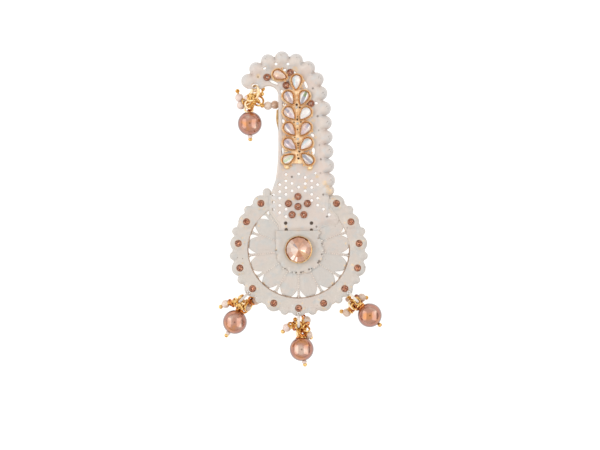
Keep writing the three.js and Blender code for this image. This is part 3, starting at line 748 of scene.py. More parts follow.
class Trees:
    """The trees that the brooch's repeated parts are grown with, each built once."""

    def __init__(self) -> None:
        """Builds the trees."""
        self.copies, self.beads, self.wires = copies_tree(), beads_tree(), wires_tree()

    @staticmethod
    def grown(
        tree: bpy.types.NodeTree, name: str, base: Mesh, values: dict[str, object],
        sharp: float | None = None,
    ) -> Piece:
        """Grows a tree on a base and keeps the result as a plain mesh.

        Args:
            tree: The tree.
            name: The piece's name.
            base: The points or lines that it grows on.
            values: The tree's inputs by name.
            sharp: The angle in degrees past which an edge is drawn sharp, where that is wanted.

        Returns:
            The new object.
        """
        holder = shown(f"{name}_base", base)
        grower = holder.modifiers.new("growth", "NODES")
        grower.node_group = tree
        for item in tree.interface.items_tree:
            if item.item_type == "SOCKET" and item.in_out == "INPUT" and item.name in values:
                grower[item.identifier] = values[item.name]
        bpy.context.view_layer.update()
        graph = bpy.context.evaluated_depsgraph_get()
        grown = holder.evaluated_get(graph)
        mesh = bpy.data.meshes.new_from_object(grown, preserve_all_data_layers=True, depsgraph=graph)
        holder.modifiers.remove(grower)
        bpy.data.objects.remove(holder)
        mesh.name = name
        mesh.materials.clear()
        mesh.materials.append(values["Finish"])
        if sharp is not None:
            mesh.set_sharp_from_angle(angle=math.radians(sharp))
        return shown(name, mesh)

    def copies_on(self, name: str, shape: Piece, rows: Sequence[Row], finish: Finish) -> Piece:
        """Sets copies of a shape at places.

        Args:
            name: The piece's name.
            shape: The shape, which is removed afterwards.
            rows: For each copy, its x, y and height, its turn in degrees and its swell.
            finish: The finish of them all.

        Returns:
            The new object.
        """
        base = bpy.data.meshes.new(f"{name}_points")
        places = [Vector((x, y, z)) * MM + MIDDLE for x, y, z, _, _ in rows]
        base.from_pydata(places, [], [])
        shades = np.random.default_rng(SEED).uniform(0, 1, len(rows))
        turns, swells = [math.radians(row[3]) for row in rows], [row[4] for row in rows]
        for mark, values in (("turn", turns), ("swell", swells), ("tone", shades.tolist())):
            base.attributes.new(mark, "FLOAT", "POINT").data.foreach_set("value", values)
        shape.data.attributes.remove(shape.data.attributes["tone"])
        made = self.grown(self.copies, name, base, {"Shape": shape, "Size": 1.0, "Finish": finish})
        bpy.data.objects.remove(shape)
        return made

    @staticmethod
    def _lines(
        name: str, lines: Sequence[Points], closed: bool = False, girths: Sequence[Points] | None = None
    ) -> Mesh:
        """Lines as a mesh of edges, in their place.

        Args:
            name: The mesh's name.
            lines: The points of each line, in millimetres.
            closed: Whether each line joins its own start.
            girths: How thick the wire is at each point, where it changes.

        Returns:
            The mesh.
        """
        points, sides, thick = [], [], []
        for number, line in enumerate(lines):
            start = len(points)
            points.extend(Vector(p) * MM + MIDDLE for p in line)
            sides.extend((start + i, start + i + 1) for i in range(len(line) - 1))
            if closed:
                sides.append((start + len(line) - 1, start))
            thick.extend(np.ones(len(line)) if girths is None else girths[number])
        mesh = bpy.data.meshes.new(name)
        mesh.from_pydata(points, sides, [])
        mesh.attributes.new("girth", "FLOAT", "POINT").data.foreach_set("value", thick)
        return mesh

    def beads_on(
        self, name: str, lines: Sequence[Points], radius: float, step: float, finish: Finish
    ) -> Piece:
        """Threads small beads along lines, so far apart."""
        sizes = {"Radius": radius * MM, "Step": step * MM, "Finish": finish}
        return self.grown(self.beads, name, self._lines(name, lines), sizes)

    def wires_on(
        self, name: str, lines: Sequence[Points], radius: float, finish: Finish,
        closed: bool = False, girths: Sequence[Points] | None = None,
    ) -> Piece:
        """Draws round wire along lines, which may be closed and may change in girth."""
        base = self._lines(name, lines, closed, girths)
        return self.grown(self.wires, name, base, {"Radius": radius * MM, "Finish": finish}, sharp=50)


# ---- Finishes


class Bench(Nodes):
    """Lays out the nodes of one material."""

    def __init__(self, name: str) -> None:
        """Starts a material with an empty principled surface.

        Args:
            name: The material's name.
        """
        self.material = bpy.data.materials.new(name)
        self.material.use_nodes = True
        super().__init__(self.material.node_tree)
        self.surface = self.tree.nodes["Principled BSDF"]
        self.place = self.node("ShaderNodeTexCoord").outputs["Object"]

    def noise(self, grain: float, detail: float = 3.0, rough: float = 0.5) -> Socket:
        """A cloudy pattern whose patches are about so many millimetres across."""
        inputs = {"Vector": self.place, "Scale": 1 / (grain * MM), "Detail": detail, "Roughness": rough}
        return self.node("ShaderNodeTexNoise", inputs).outputs["Fac"]

    def dots(self, apart: float) -> bpy.types.Node:
        """Scattered points so many millimetres apart, as the node that measures the distance from them."""
        return self.node("ShaderNodeTexVoronoi", {"Vector": self.place, "Scale": 1 / (apart * MM)})

    def mark(self, name: str) -> Socket:
        """A mark that the mesh carries."""
        return self.node("ShaderNodeAttribute", attribute_name=name).outputs["Fac"]

    def spread(self, value: Socket, low: float, high: float) -> Socket:
        """A value from zero to one, spread between two bounds."""
        inputs = {"Value": value, "To Min": low, "To Max": high}
        return self.node("ShaderNodeMapRange", inputs).outputs["Result"]

    def bumped(self, heights: Sequence[tuple[Socket, float]]) -> None:
        """Roughens the surface.

        Args:
            heights: Patterns, with how many millimetres each stands up.
        """
        feeds: Feeds = {"Strength": 1.0}
        for pattern, depth in heights:
            bump = self.node("ShaderNodeBump", {"Height": pattern, "Distance": depth * MM, **feeds})
            feeds["Normal"] = bump.outputs["Normal"]
        self.set(normal=feeds["Normal"])

    def set(self, **values: object) -> None:
        """Sets the surface's inputs, with underscores for the spaces in their names.

        Args:
            **values: A value, a colour or a socket for each input.
        """
        names = {socket.name.lower(): socket for socket in self.surface.inputs}
        for name, value in values.items():
            self.feed(names[name.replace("_", " ")], value)


@dataclass(frozen=True)
class Enamel:
    """Creamy enamel over a gilt casting, which shows where it has worn or run thin.

    Attributes:
        cream: Its colour where it lies thick.
        blush: Its pinker patches.
        ash: Its greyer patches, and the painted shade that the tone mark sets at the plume's lobe ends.
        gilt: The metal under it.
        pit_shade_and_soil: The colour of its dark pinholes, and of the painted shade in its blind holes.
        wear: How much of an edge has worn through.
    """

    name: str = "white_enamel"
    cream: Colour = (0.545, 0.488, 0.44)
    blush: Colour = (0.55, 0.468, 0.42)
    ash: Colour = (0.48, 0.463, 0.445)
    gilt: Colour = (0.72, 0.52, 0.32)
    pit_shade_and_soil: Colour = (0.17, 0.12, 0.085)
    wear: float = 0.5

    def material(self) -> Finish:
        """Builds the material.

        Returns:
            The material.
        """
        bench = Bench(self.name)
        drift = bench.noise(11.0, 2.0)
        cloud = bench.noise(3.0, 3.0)
        fine = bench.noise(0.5, 4.0)
        colour = bench.mix(bench.step(drift, 0.4, 0.62), self.cream, self.blush)
        colour = bench.mix(bench.step(cloud, 0.45, 0.7), colour, self.ash)
        # The tone mark greys it; on the plume's lobes that is painted shade towards their ends.
        tint = bench.maths("MULTIPLY", bench.mark("tone"), 0.8)
        colour = bench.mix(tint, colour, self.ash)
        thin = bench.maths("MULTIPLY", bench.mark("lip"), self.wear)
        patch = bench.step(bench.noise(2.2, 4.0, 0.65), 0.52, 0.66)
        worn_lip = bench.maths("MULTIPLY", thin, patch)
        worn_mark = bench.maths("MULTIPLY", bench.mark("worn"), bench.step(fine, 0.3, 0.6))
        worn = bench.maths("MAXIMUM", worn_lip, worn_mark)
        colour = bench.mix(worn, colour, self.gilt)
        pores = bench.dots(2.6)
        few = bench.step(bench.noise(5.0, 1.0), 0.5, 0.62)
        pore = bench.step(pores.outputs["Distance"], 0.085, 0.05)
        # Dark pinholes, and the painted shade that the pit mark lays in blind holes and between the lobes.
        dark = bench.maths("MAXIMUM", bench.maths("MULTIPLY", pore, few), bench.mark("pit"))
        colour = bench.mix(dark, colour, self.pit_shade_and_soil)
        bench.set(base_color=colour, roughness=bench.spread(fine, 0.3, 0.46))
        bench.set(metallic=bench.maths("MULTIPLY", worn, 0.4), coat_weight=0.5, coat_roughness=0.12)
        bench.bumped([(cloud, 0.12), (fine, 0.03), (bench.maths("SUBTRACT", 1.0, dark), 0.08)])
        return bench.material


@dataclass(frozen=True)
class Gilding:
    """Warm gold plate, deeper where it is scratched, and darkened by painted shade where its pit mark is set.

    Attributes:
        bright: Its colour where it is rubbed.
        deep: Its colour in the hollows.
        polish: How rough it is at its smoothest.
        metal: How much of a metal it looks, less where it is lacquered.
        pit_shade_and_soil: The colour of the painted shade in its blind holes, grooves and hollows.
    """

    name: str
    bright: Colour = (1.0, 0.84, 0.56)
    deep: Colour = (0.94, 0.58, 0.28)
    polish: float = 0.16
    metal: float = 1.0
    pit_shade_and_soil: Colour = (0.1, 0.035, 0.012)

    def material(self) -> Finish:
        """Builds the material.

        Returns:
            The material.
        """
        bench = Bench(self.name)
        cloud = bench.noise(1.6, 4.0, 0.6)
        grain = bench.noise(0.25, 3.0)
        colour = bench.mix(bench.step(cloud, 0.36, 0.66), self.deep, self.bright)
        colour = bench.mix(bench.maths("MULTIPLY", bench.step(grain, 0.52, 0.72), 0.6), colour, self.deep)
        # Painted shade in the grooves, holes and hollows that the pit mark picks out.
        colour = bench.mix(bench.mark("pit"), colour, self.pit_shade_and_soil)
        rough = bench.spread(grain, self.polish, self.polish + 0.22)
        bench.set(base_color=colour, metallic=self.metal, roughness=rough)
        bench.bumped([(cloud, 0.05), (grain, 0.015)])
        return bench.material


@dataclass(frozen=True)
class CutGlass:
    """The clear front of a cut stone.

    Attributes:
        colour: The glass's own colour.
        film: The thickness of its iridescent coat in nanometres.
    """

    name: str
    colour: Colour
    film: float = 0.0

    def material(self) -> Finish:
        """Builds the material.

        Returns:
            The material.
        """
        bench = Bench(self.name)
        streak = bench.noise(2.0, 2.0)
        paler = tuple(min(1.0, c * 1.06) for c in self.colour)
        glass = bench.mix(streak, self.colour, paler)
        bench.set(base_color=glass, roughness=0.02, transmission_weight=1.0, ior=1.56)
        if self.film:
            bench.set(thin_film_thickness=self.film, thin_film_ior=1.38)
        return bench.material


@dataclass(frozen=True)
class Foil:
    """The lacquered foil behind a cut stone, a little uneven under the glass.

    Attributes:
        tint: Its colour.
        second: The colour that it drifts to.
        shine: How much of a mirror it is.
        glow: How strongly it glows in its own tint, painted light that makes it brighter than paint would be.
        grain: How large its uneven patches are.
    """

    name: str
    tint: Colour
    second: Colour
    shine: float = 0.2
    glow: float = 0.06
    grain: float = 0.9

    def material(self) -> Finish:
        """Builds the material.

        Returns:
            The material.
        """
        bench = Bench(self.name)
        colour = bench.mix(bench.step(bench.noise(self.grain, 2.0), 0.38, 0.62), self.tint, self.second)
        bench.set(base_color=colour, metallic=self.shine, roughness=0.24)
        # Painted light: the foil glows in its own tint so the stone reads brighter.
        bench.set(emission_color=self.tint, emission_strength=self.glow)
        return bench.material


@dataclass(frozen=True)
class LustreGlass:
    """A bead of coloured glass under a pearly lustre, with painted shade where it curves away.

    Attributes:
        body: Its colour.
        pale: The colour of its palest clouds.
        warm: The colour that it drifts to.
        rim: Its colour where it curves away, a painted shade and reflection of the gold round it.
        deep: The colour of its very edge, a darker painted shade.
        shine: How much of a mirror its lustre is.
    """

    name: str = "rose_bead_glass"
    body: Colour = (0.52, 0.25, 0.175)
    pale: Colour = (0.66, 0.45, 0.36)
    warm: Colour = (0.6, 0.24, 0.08)
    rim: Colour = (0.37, 0.135, 0.085)
    deep: Colour = (0.14, 0.04, 0.028)
    shine: float = 0.7

    def material(self) -> Finish:
        """Builds the material.

        Returns:
            The material.
        """
        bench = Bench(self.name)
        swirl = bench.noise(4.5, 2.0, 0.4)
        cloud = bench.noise(1.4, 3.0)
        colour = bench.mix(bench.step(swirl, 0.34, 0.5), self.pale, self.body)
        colour = bench.mix(bench.step(swirl, 0.5, 0.64), colour, self.warm)
        # Painted shade by facing: darker and warmer towards the outline, darkest at the very edge.
        edge = bench.node("ShaderNodeLayerWeight", {"Blend": 0.35}).outputs["Facing"]
        rim = bench.mix(bench.maths("MULTIPLY", bench.step(swirl, 0.5, 0.64), 0.5), self.rim, self.warm)
        colour = bench.mix(bench.step(edge, 0.12, 0.3), colour, rim)
        colour = bench.mix(bench.step(edge, 0.34, 0.55), colour, self.deep)
        bench.set(base_color=colour, metallic=self.shine, roughness=0.1)
        bench.set(coat_weight=0.6, coat_roughness=0.05, coat_ior=1.8)
        bench.bumped([(swirl, 0.05), (cloud, 0.008)])
        return bench.material


@dataclass(frozen=True)
class Pearl:
    """Imitation pearl, whose tint runs from one end of its range to the other by the bead's mark.

    Attributes:
        tints: The tints that the marks choose from.
        shadow: The colour that it deepens to where it curves away.
        cloud: Its palest clouds.
    """

    name: str = "seed_pearl"
    tints: tuple[Colour, ...] = (
        (0.66, 0.45, 0.35), (0.7, 0.55, 0.52), (0.66, 0.54, 0.46), (0.56, 0.4, 0.31), (0.54, 0.31, 0.19),
    )
    shadow: Colour = (0.42, 0.22, 0.12)
    cloud: Colour = (0.7, 0.58, 0.5)

    def material(self) -> Finish:
        """Builds the material.

        Returns:
            The material.
        """
        bench = Bench(self.name)
        stops = [(i / (len(self.tints) - 1), tint) for i, tint in enumerate(self.tints)]
        tint = bench.ramp(bench.mark("tone"), stops)
        cloud = bench.noise(0.9, 3.0)
        glow = bench.node("ShaderNodeLayerWeight", {"Blend": 0.4}).outputs["Facing"]
        colour = bench.mix(bench.maths("MULTIPLY", glow, 0.5), tint, self.shadow)
        colour = bench.mix(bench.step(cloud, 0.5, 0.8), colour, self.cloud)
        bench.set(base_color=colour, roughness=0.26, coat_weight=0.8, coat_roughness=0.1, sheen_weight=0.15)
        bench.bumped([(cloud, 0.008)])
        return bench.material


@dataclass(frozen=True)
class Paper:
    """The plain pale ground that the brooch lies on, lit evenly from beneath."""

    name: str = "pale_ground"
    shade: Colour = (0.25, 0.25, 0.25)
    glow: float = 0.93

    def material(self) -> Finish:
        """Builds the material.

        Returns:
            The material.
        """
        bench = Bench(self.name)
        bench.set(base_color=self.shade, roughness=0.9, specular_ior_level=0.1)
        bench.set(emission_color=(1.0, 1.0, 1.0), emission_strength=self.glow)
        return bench.material


class Tint(Enum):
    """The tints of foil behind the cut stones, each with its two colours."""

    WHITE = ((1.0, 0.98, 0.97), (0.99, 0.95, 0.93))
    FROST = ((0.91, 0.81, 0.77), (0.94, 0.85, 0.82))
    CREAM = ((0.96, 0.79, 0.66), (0.98, 0.85, 0.75))
    BLUSH = ((0.86, 0.62, 0.53), (0.9, 0.7, 0.62))
    PEACH = ((0.84, 0.54, 0.4), (0.88, 0.6, 0.46))
    TAN = ((0.72, 0.46, 0.35), (0.78, 0.54, 0.44))
    AMBER = ((0.64, 0.3, 0.17), (0.72, 0.38, 0.24))
    HONEY = ((0.78, 0.5, 0.25), (0.8, 0.58, 0.36))
    MAUVE = ((0.66, 0.52, 0.54), (0.74, 0.6, 0.6))
    LILAC = ((0.8, 0.65, 0.7), (0.88, 0.73, 0.76))
    SLATE = ((0.4, 0.36, 0.47), (0.6, 0.5, 0.56))
    MINT = ((0.62, 0.76, 0.52), (0.8, 0.86, 0.7))
    SKY = ((0.62, 0.78, 0.84), (0.8, 0.86, 0.9))
    MOSS = ((0.2, 0.28, 0.12), (0.34, 0.4, 0.22))
    STEEL = ((0.42, 0.42, 0.5), (0.52, 0.5, 0.56))
    ROSE = ((0.86, 0.46, 0.3), (0.26, 0.08, 0.04))


class Workbox:
    """The finishes and trees that every part of the brooch is made with."""

    def __init__(self) -> None:
        """Builds the materials and trees once each."""
        self.trees = Trees()
        self.enamel = Enamel().material()
        self.rib_enamel = Enamel(
            "rib_enamel", cream=(0.66, 0.59, 0.53), blush=(0.66, 0.56, 0.5), ash=(0.6, 0.57, 0.53), wear=0.0
        ).material()
        self.plume_enamel = Enamel(
            "plume_enamel", cream=(0.58, 0.503, 0.453), blush=(0.58, 0.473, 0.422), ash=(0.51, 0.485, 0.473)
        ).material()
        # The pit colours of the gold and the cup are painted shade: in the collets' grooves, the spine's
        # holes and one side of the cup's wall.
        self.gold = Gilding("gold_plate", pit_shade_and_soil=(0.52, 0.23, 0.08)).material()
        self.cup_gold = Gilding("cup_gold", deep=(0.96, 0.6, 0.27), pit_shade_and_soil=(0.24, 0.08, 0.02)).material()
        self.pale_gold = Gilding(
            "pale_gold", bright=(0.92, 0.7, 0.46), deep=(0.74, 0.44, 0.22), polish=0.3, metal=0.45
        ).material()
        self.amber_wire = Gilding(
            "amber_wire", bright=(0.9, 0.38, 0.11), deep=(0.32, 0.06, 0.012), polish=0.1
        ).material()
        self.pale_wire = Gilding(
            "pale_wire", bright=(1.0, 0.88, 0.66), deep=(0.95, 0.66, 0.34), polish=0.14, metal=0.8
        ).material()
        self.rib_gold = Gilding(
            "worn_lip", bright=(0.66, 0.5, 0.38), deep=(0.36, 0.2, 0.12), polish=0.3
        ).material()
        self.dark_gold = Gilding(
            "dark_gold", bright=(0.72, 0.42, 0.27), deep=(0.2, 0.075, 0.045), polish=0.2
        ).material()
        self.back_gold = Gilding(
            "cast_back", bright=(0.74, 0.5, 0.25), deep=(0.45, 0.26, 0.11), polish=0.34
        ).material()
        self.wire_gold = Gilding(
            "gold_wire", bright=(1.0, 0.74, 0.32), deep=(0.55, 0.22, 0.03), polish=0.1
        ).material()
        self.clear_glass = CutGlass("clear_stone_glass", (1.0, 0.97, 0.95), film=380.0).material()
        self.peach_glass = CutGlass("peach_stone_glass", (0.93, 0.81, 0.73)).material()
        self.rose_glass = CutGlass("rose_stone_glass", (0.97, 0.84, 0.76)).material()
        # Every foil glows a little in its own tint, as painted light.
        self.foils = {tint: Foil(f"{tint.name.lower()}_foil", *tint.value).material() for tint in Tint}
        # A white foil that glows strongly: a painted flash on the large stone's facets.
        self.painted_flash_foil = Foil("painted_flash_foil", *Tint.WHITE.value, glow=0.5).material()
        self.rose_foil = Foil("rose_mirror_foil", *Tint.ROSE.value, shine=0.6, grain=0.55).material()
        self.rose_bead = LustreGlass().material()
        # Its rim and deep colours are painted shade at its edge, as on the rose beads.
        self.dark_bead = LustreGlass(
            "dark_seed_glass", body=(0.3, 0.07, 0.03), pale=(0.3, 0.07, 0.03), warm=(0.5, 0.18, 0.06),
            rim=(0.2, 0.04, 0.02), deep=(0.1, 0.02, 0.01),
        ).material()
        self.pearl = Pearl().material()
        self.ring_enamel = Enamel(
            name="pale_ring_enamel", cream=(0.7, 0.64, 0.58), wear=0.9, gilt=(0.75, 0.5, 0.28)
        ).material()


# ---- Stones


@dataclass
class CutStone:
    """A round stone with a faceted front and a mirrored, pointed back.

    Attributes:
        r: The radius of its girdle.
        table: The radius of its flat front.
        crown: How far its front stands above its girdle.
        depth: How far its point lies below its girdle.
        facets: How many facets run round it.
    """

    r: float = 1.31
    table: float = 0.66
    crown: float = 0.5
    depth: float = 0.62
    facets: int = 8

    def _ring(self, r: float, z: float, half_step: bool) -> Points:
        """A ring of its corners."""
        turns = (np.arange(self.facets) + (0.5 if half_step else 0.0)) * 2 * math.pi / self.facets
        return ring_of(turns, r, z)

    def draft(self) -> Draft:
        """The stone with its girdle at height 0, its front in one finish and its back in the next.

        Returns:
            The stone as faces.
        """
        n = self.facets
        girdle = np.vstack([self._ring(self.r, 0, False), self._ring(self.r, 0, True)])
        star = self._ring((self.r + self.table) / 2, self.crown * 0.72, True)
        table = self._ring(self.table, self.crown, False)
        low = self._ring(self.r * 0.45, -self.depth * 0.62, False)
        point = np.array([[0, 0, -self.depth]])
        points = np.vstack([girdle, star, table, low, point])
        s, t, w, p = 2 * n, 3 * n, 4 * n, 5 * n
        front, back = [], []
        for i in range(n):
            j, before = (i + 1) % n, (i - 1) % n
            front.extend([[i, n + i, s + i], [n + i, j, s + i]])
            front.extend([[i, s + i, t + i, s + before], [s + i, t + j, t + i]])
            back.extend([[n + i, i, w + i], [j, n + i, w + j], [n + i, w + i, w + j], [w + i, p, w + j]])
        front.append([t + i for i in range(n)])
        draft = Draft()
        draft.add(points, front, 0)
        draft.add(points, back, 1)
        return draft


def bezel_unit() -> Piece:
    """A thin gold ring round a stone, nicked where it is pressed over the stone's edge.

    Returns:
        The ring as an object.
    """
    profile = ((1.3, -0.4), (1.3, 0.42), (1.24, 0.5), (1.3, 0.56), (1.4, 0.5), (1.46, 0.3), (1.48, -0.4))
    turns = full_turn(64)
    nick = 0.05 * (np.cos(turns * 12) > 0.3)
    draft = Draft()
    draft.loft([ring_of(turns, r - nick * (z > 0.45), z) for r, z in profile], capped=False)
    return draft.unit("bezel_unit", sharp=55)


def set_round_stones(work: Workbox, where: str, rows: Sequence[Row], nodes: Sequence[str]) -> None:
    """Sets round stones at places, with the mirror on their lower facets and a gold ring about each.

    Args:
        work: The finishes and trees.
        where: What they are set in, which starts the pieces' names.
        rows: For each stone, its x, y and girdle height, its turn in degrees and its swell.
        nodes: The nodes that the stones stand for.
    """
    unit = CutStone().draft().unit(f"{where}_stones_unit", sharp=1.0)
    backs = unit.data.attributes.new("mirror", "INT", "FACE")
    backs.data.foreach_set("value", [face.material_index for face in unit.data.polygons])
    made = work.trees.copies_on(f"{where}_stones", unit, rows, work.rose_glass)
    made.data.materials.append(work.rose_foil)
    numbers = np.zeros(len(made.data.polygons), dtype=np.int32)
    made.data.attributes["mirror"].data.foreach_get("value", numbers)
    made.data.polygons.foreach_set("material_index", numbers)
    made.data.shade_flat()
    present(made, "rose_stone", *nodes)
    bezels = [(x, y, z - 0.5, turn, swell) for x, y, z, turn, swell in rows]
    present(work.trees.copies_on(f"{where}_bezels", bezel_unit(), bezels, work.dark_gold), "gold")


# ---- Medallion


def from_top(points: Points) -> Points:
    """Points in the order of their headings, anticlockwise from straight up."""
    return points[np.argsort((bearing(points) % 360 - 90) % 360)]


@dataclass
class Medallion:
    """The round casting of rosettes and petals, its middle flower and the large stone in its cup.

    Attributes:
        rows: For each rosette from straight down, its turn to either side in degrees and its distance out.
        rosette_r: The rosettes' radius.
        seat_r: The radius of the blind hole under each stone.
        worn_r: How far round each stone the gold shows.
        bud_r: The radius of the buds between them.
        petals: How many petals the wheel has.
        window: How far a window starts from its rib, its width, its depth and its distance from the rim.
        under_foot: The room under the plume's foot.
        sectors: Where each of the large stone's sectors starts, with its tints near the middle and outside,
            partly painted reflections.
        window_sizes: The windows that differ from the rest, by rib and side.
        flower_pits: The blind holes along the flower's edge, darkened with painted shade in the gaps between
            its scallops.
        cup_profile: The section of the cup: its radii, and their heights above its back.
        stone_girdle: How far the large stone's girdle is above the cup's back.
        stone_front: The radius of the corners on its front, and their share of its height.
        stone_back: The radius of the corners on its back, and how far they lie below its girdle.
        facet_span: About how many degrees each of its facets takes.
        ring_holes: The rosettes that a drop hangs from, with the way each hole lies.
    """

    rows: tuple[tuple[float, float], ...] = (
        (0, 23.5), (24.9, 23.7), (49.7, 24.2), (72.6, 24.7), (95.8, 24.3), (118.0, 23.7), (140.7, 23.9),
    )
    rosette_r: float = 3.35
    rosette_petals: int = 9
    rosette_rise: float = 0.72
    seat_r: float = 1.4
    worn_r: float = 1.9
    bud_r: float = 1.7
    bud_rise: float = 0.5
    bud_path: Place = (26.2, 25.1)
    extra_bud: Spot = (-12.8, 22.9, 1.75)
    rim_outer: Place = (26.6, 25.6)
    rim_inner: Place = (20.2, 19.3)
    petals: int = 13
    wheel: Place = (20.9, 20.0)
    wheel_top: float = 7.3
    petal_rise: float = 0.7
    flutes: int = 5
    window: tuple[float, float, float, float] = (0.5, 2.75, 3.9, 0.6)
    flower_r: float = 9.0
    flower_at: Place = (0.4, -0.3)
    flower_top: float = 8.8
    scallops: int = 16
    lumps: tuple[Place, ...] = (
        (9.3, 3.6), (9.75, 1.5), (9.6, -0.4), (9.5, -2.6), (8.7, -4.0), (7.6, -6.1), (6.2, -7.2), (4.7, -8.4),
        (3.1, -8.7), (0.1, -9.5), (-1.8, -9.3), (-3.6, -8.9), (-6.2, -7.6),
    )
    under_foot: tuple[Place, ...] = (
        (-6.0, 9.6), (-10.85, 15.2), (-10.98, 27.0), (9.2, 27.0), (8.8, 19.6), (10.6, 16.6), (13.4, 14.6),
        (13.2, 12.4), (8.0, 11.2), (6.0, 9.6),
    )
    sectors: tuple[tuple[float, Tint, Tint], ...] = (
        (-26, Tint.BLUSH, Tint.TAN), (14, Tint.BLUSH, Tint.BLUSH), (36, Tint.PEACH, Tint.TAN),
        (64, Tint.TAN, Tint.PEACH), (92, Tint.PEACH, Tint.TAN), (124, Tint.STEEL, Tint.FROST),
        (142, Tint.FROST, Tint.WHITE), (168, Tint.WHITE, Tint.FROST), (196, Tint.FROST, Tint.BLUSH),
        (226, Tint.CREAM, Tint.WHITE), (242, Tint.PEACH, Tint.BLUSH), (251, Tint.AMBER, Tint.WHITE),
        (262, Tint.AMBER, Tint.PEACH), (282, Tint.AMBER, Tint.TAN), (302, Tint.HONEY, Tint.HONEY),
    )
    window_sizes: tuple[tuple[tuple[int, int], float], ...] = (
        ((4, -1), 0.74), ((4, 1), 0.7), ((5, -1), 0.42), ((5, 1), 0.0), ((6, -1), 0.0), ((6, 1), 0.0),
        ((7, -1), 0.0), ((7, 1), 0.0), ((8, -1), 0.62), ((8, 1), 0.95),
    )
    wheel_wear: tuple[Spot, ...] = (
        (-9.2, -0.1, 0.5), (-17.6, -11.0, 0.8), (18.9, 2.4, 0.6), (-14.2, -13.6, 0.9), (-12.6, 14.6, 0.9),
        (-16.0, 9.6, 0.6), (13.6, -13.6, 0.8), (18.4, -6.4, 0.6),
    )
    flower_pits: tuple[Spot, ...] = (
        (-9.0, -0.3, 0.36), (-8.9, -3.5, 0.36), (-6.6, -7.2, 0.34), (-5.4, -7.9, 0.5), (-4.5, -8.3, 0.3),
        (-0.9, -9.1, 0.3), (0.9, -9.1, 0.44), (1.7, -8.9, 0.26), (4.1, -7.9, 0.42), (9.3, -1.9, 0.3),
        (8.2, -4.6, 0.5), (7.7, -5.3, 0.32), (9.2, 2.4, 0.26), (-2.6, -9.0, 0.24), (5.2, -7.6, 0.24),
    )
    cup_profile: tuple[Place, ...] = (
        (4.7, 0.0), (5.35, 0.0), (5.5, 0.12), (5.52, 0.3), (5.32, 0.5), (5.26, 1.5), (5.32, 1.78),
        (5.28, 1.98), (5.22, 2.08), (5.08, 2.04), (4.86, 1.9), (4.8, 1.7), (4.7, 0.1),
    )
    stone_r: float = 4.92
    stone_girdle: float = 1.86
    stone_front: Place = (2.6, 0.55)
    stone_back: Place = (2.9, 0.46)
    stone_depth: float = 0.8
    facet_span: float = 24.0
    ring_holes: tuple[tuple[int, float], ...] = ((0, -90.0), (-2, 225.0), (2, -45.0))
    ring_hole: Place = (2.35, 0.72)
    chips: int = 4
    gold_lip: Place = (146.0, 366.0)

    def angle(self, place: int) -> float:
        """The heading of a rosette, counted from the bottom one."""
        return 270 + math.copysign(1, place) * self.rows[abs(place)][0]

    def centre(self, place: int) -> Points:
        """The middle of a rosette, counted from the bottom one."""
        return heading(self.angle(place)) * self.rows[abs(place)][1]

    def places(self) -> range:
        """The rosettes' numbers, from the leftmost round to the rightmost."""
        last = len(self.rows) - 1
        return range(-last, last + 1)

    def buds(self) -> list[Spot]:
        """The middles and radii of the buds.

        Returns:
            Each bud's x, y and radius.
        """
        a, b = self.bud_path
        made = []
        for place in list(self.places())[1:]:
            between = math.radians((self.angle(place - 1) + self.angle(place)) / 2)
            made.append((a * math.cos(between), b * math.sin(between), self.bud_r))
        return [*made, self.extra_bud]

    def outline(self) -> Points:
        """The rim's outer edge.

        Returns:
            The edge as a loop.
        """
        bumps = [(*self.centre(place), self.rosette_r) for place in self.places()] + self.buds()
        a, b = self.rim_outer
        points = []
        for degrees in np.arange(0, 360, 0.6):
            ray = heading(degrees)
            reach = math.hypot(a * ray[0], b * ray[1])
            for x, y, r in bumps:
                along, aside = x * ray[0] + y * ray[1], x * ray[1] - y * ray[0]
                if along > 0 and abs(aside) < r:
                    reach = max(reach, along + math.sqrt(r * r - aside * aside))
            points.append(ray * reach)
        return np.array(points)

    def rim(self, work: Workbox) -> None:
        """Builds the rim with its rosettes and buds.

        Args:
            work: The finishes and trees.
        """
        out, r = self.ring_hole
        holes = [disc_loop(*(self.centre(place) + heading(turn) * out), r) for place, turn in self.ring_holes]
        foot, outer, inner = [np.array(self.under_foot)], self.outline(), ellipse(*self.rim_inner, 120)
        outer, inner = (from_top(loop[~inside(loop, foot)]) for loop in (outer, inner))

        def top(points: Points, gap: Points) -> Points:
            """A shallow crown with rosettes and buds on it and a lip along its inner edge."""
            lip = 0.16 * np.exp(-(((away_from(points / self.rim_inner) - 1.03) / 0.012) ** 2))
            return RIM_TOP - 0.16 + 0.16 * smoothed(gap, 0, 1.6) + lip + self._swell(points)

        # The seat under each stone is a blind hole darkened with painted shade.
        seats = [(*self.centre(place), self.seat_r) for place in self.places()]
        casting = Casting(
            np.vstack([outer, inner[::-1]]), RIM_BACK, top, holes, sunk=seats, patches=self._rim_wear(),
            round_over=0.42, spacing=0.4, shade=self._rim_tone,
        )
        piece = casting.draft().piece("rim", [work.enamel, work.back_gold])
        present(piece, "enamel", "medallion_rim")
        turns = np.radians(np.linspace(*self.gold_lip, 220))
        lip = raised(1.004 * np.column_stack([np.cos(turns), np.sin(turns)]) * self.rim_inner, RIM_TOP - 0.06)
        girth = np.minimum(1, 0.3 + np.sin(np.linspace(0, math.pi, len(lip))) * 1.1)
        present(work.trees.wires_on("rim_lip", [lip], 0.15, work.rib_gold, girths=[girth]), "gold")

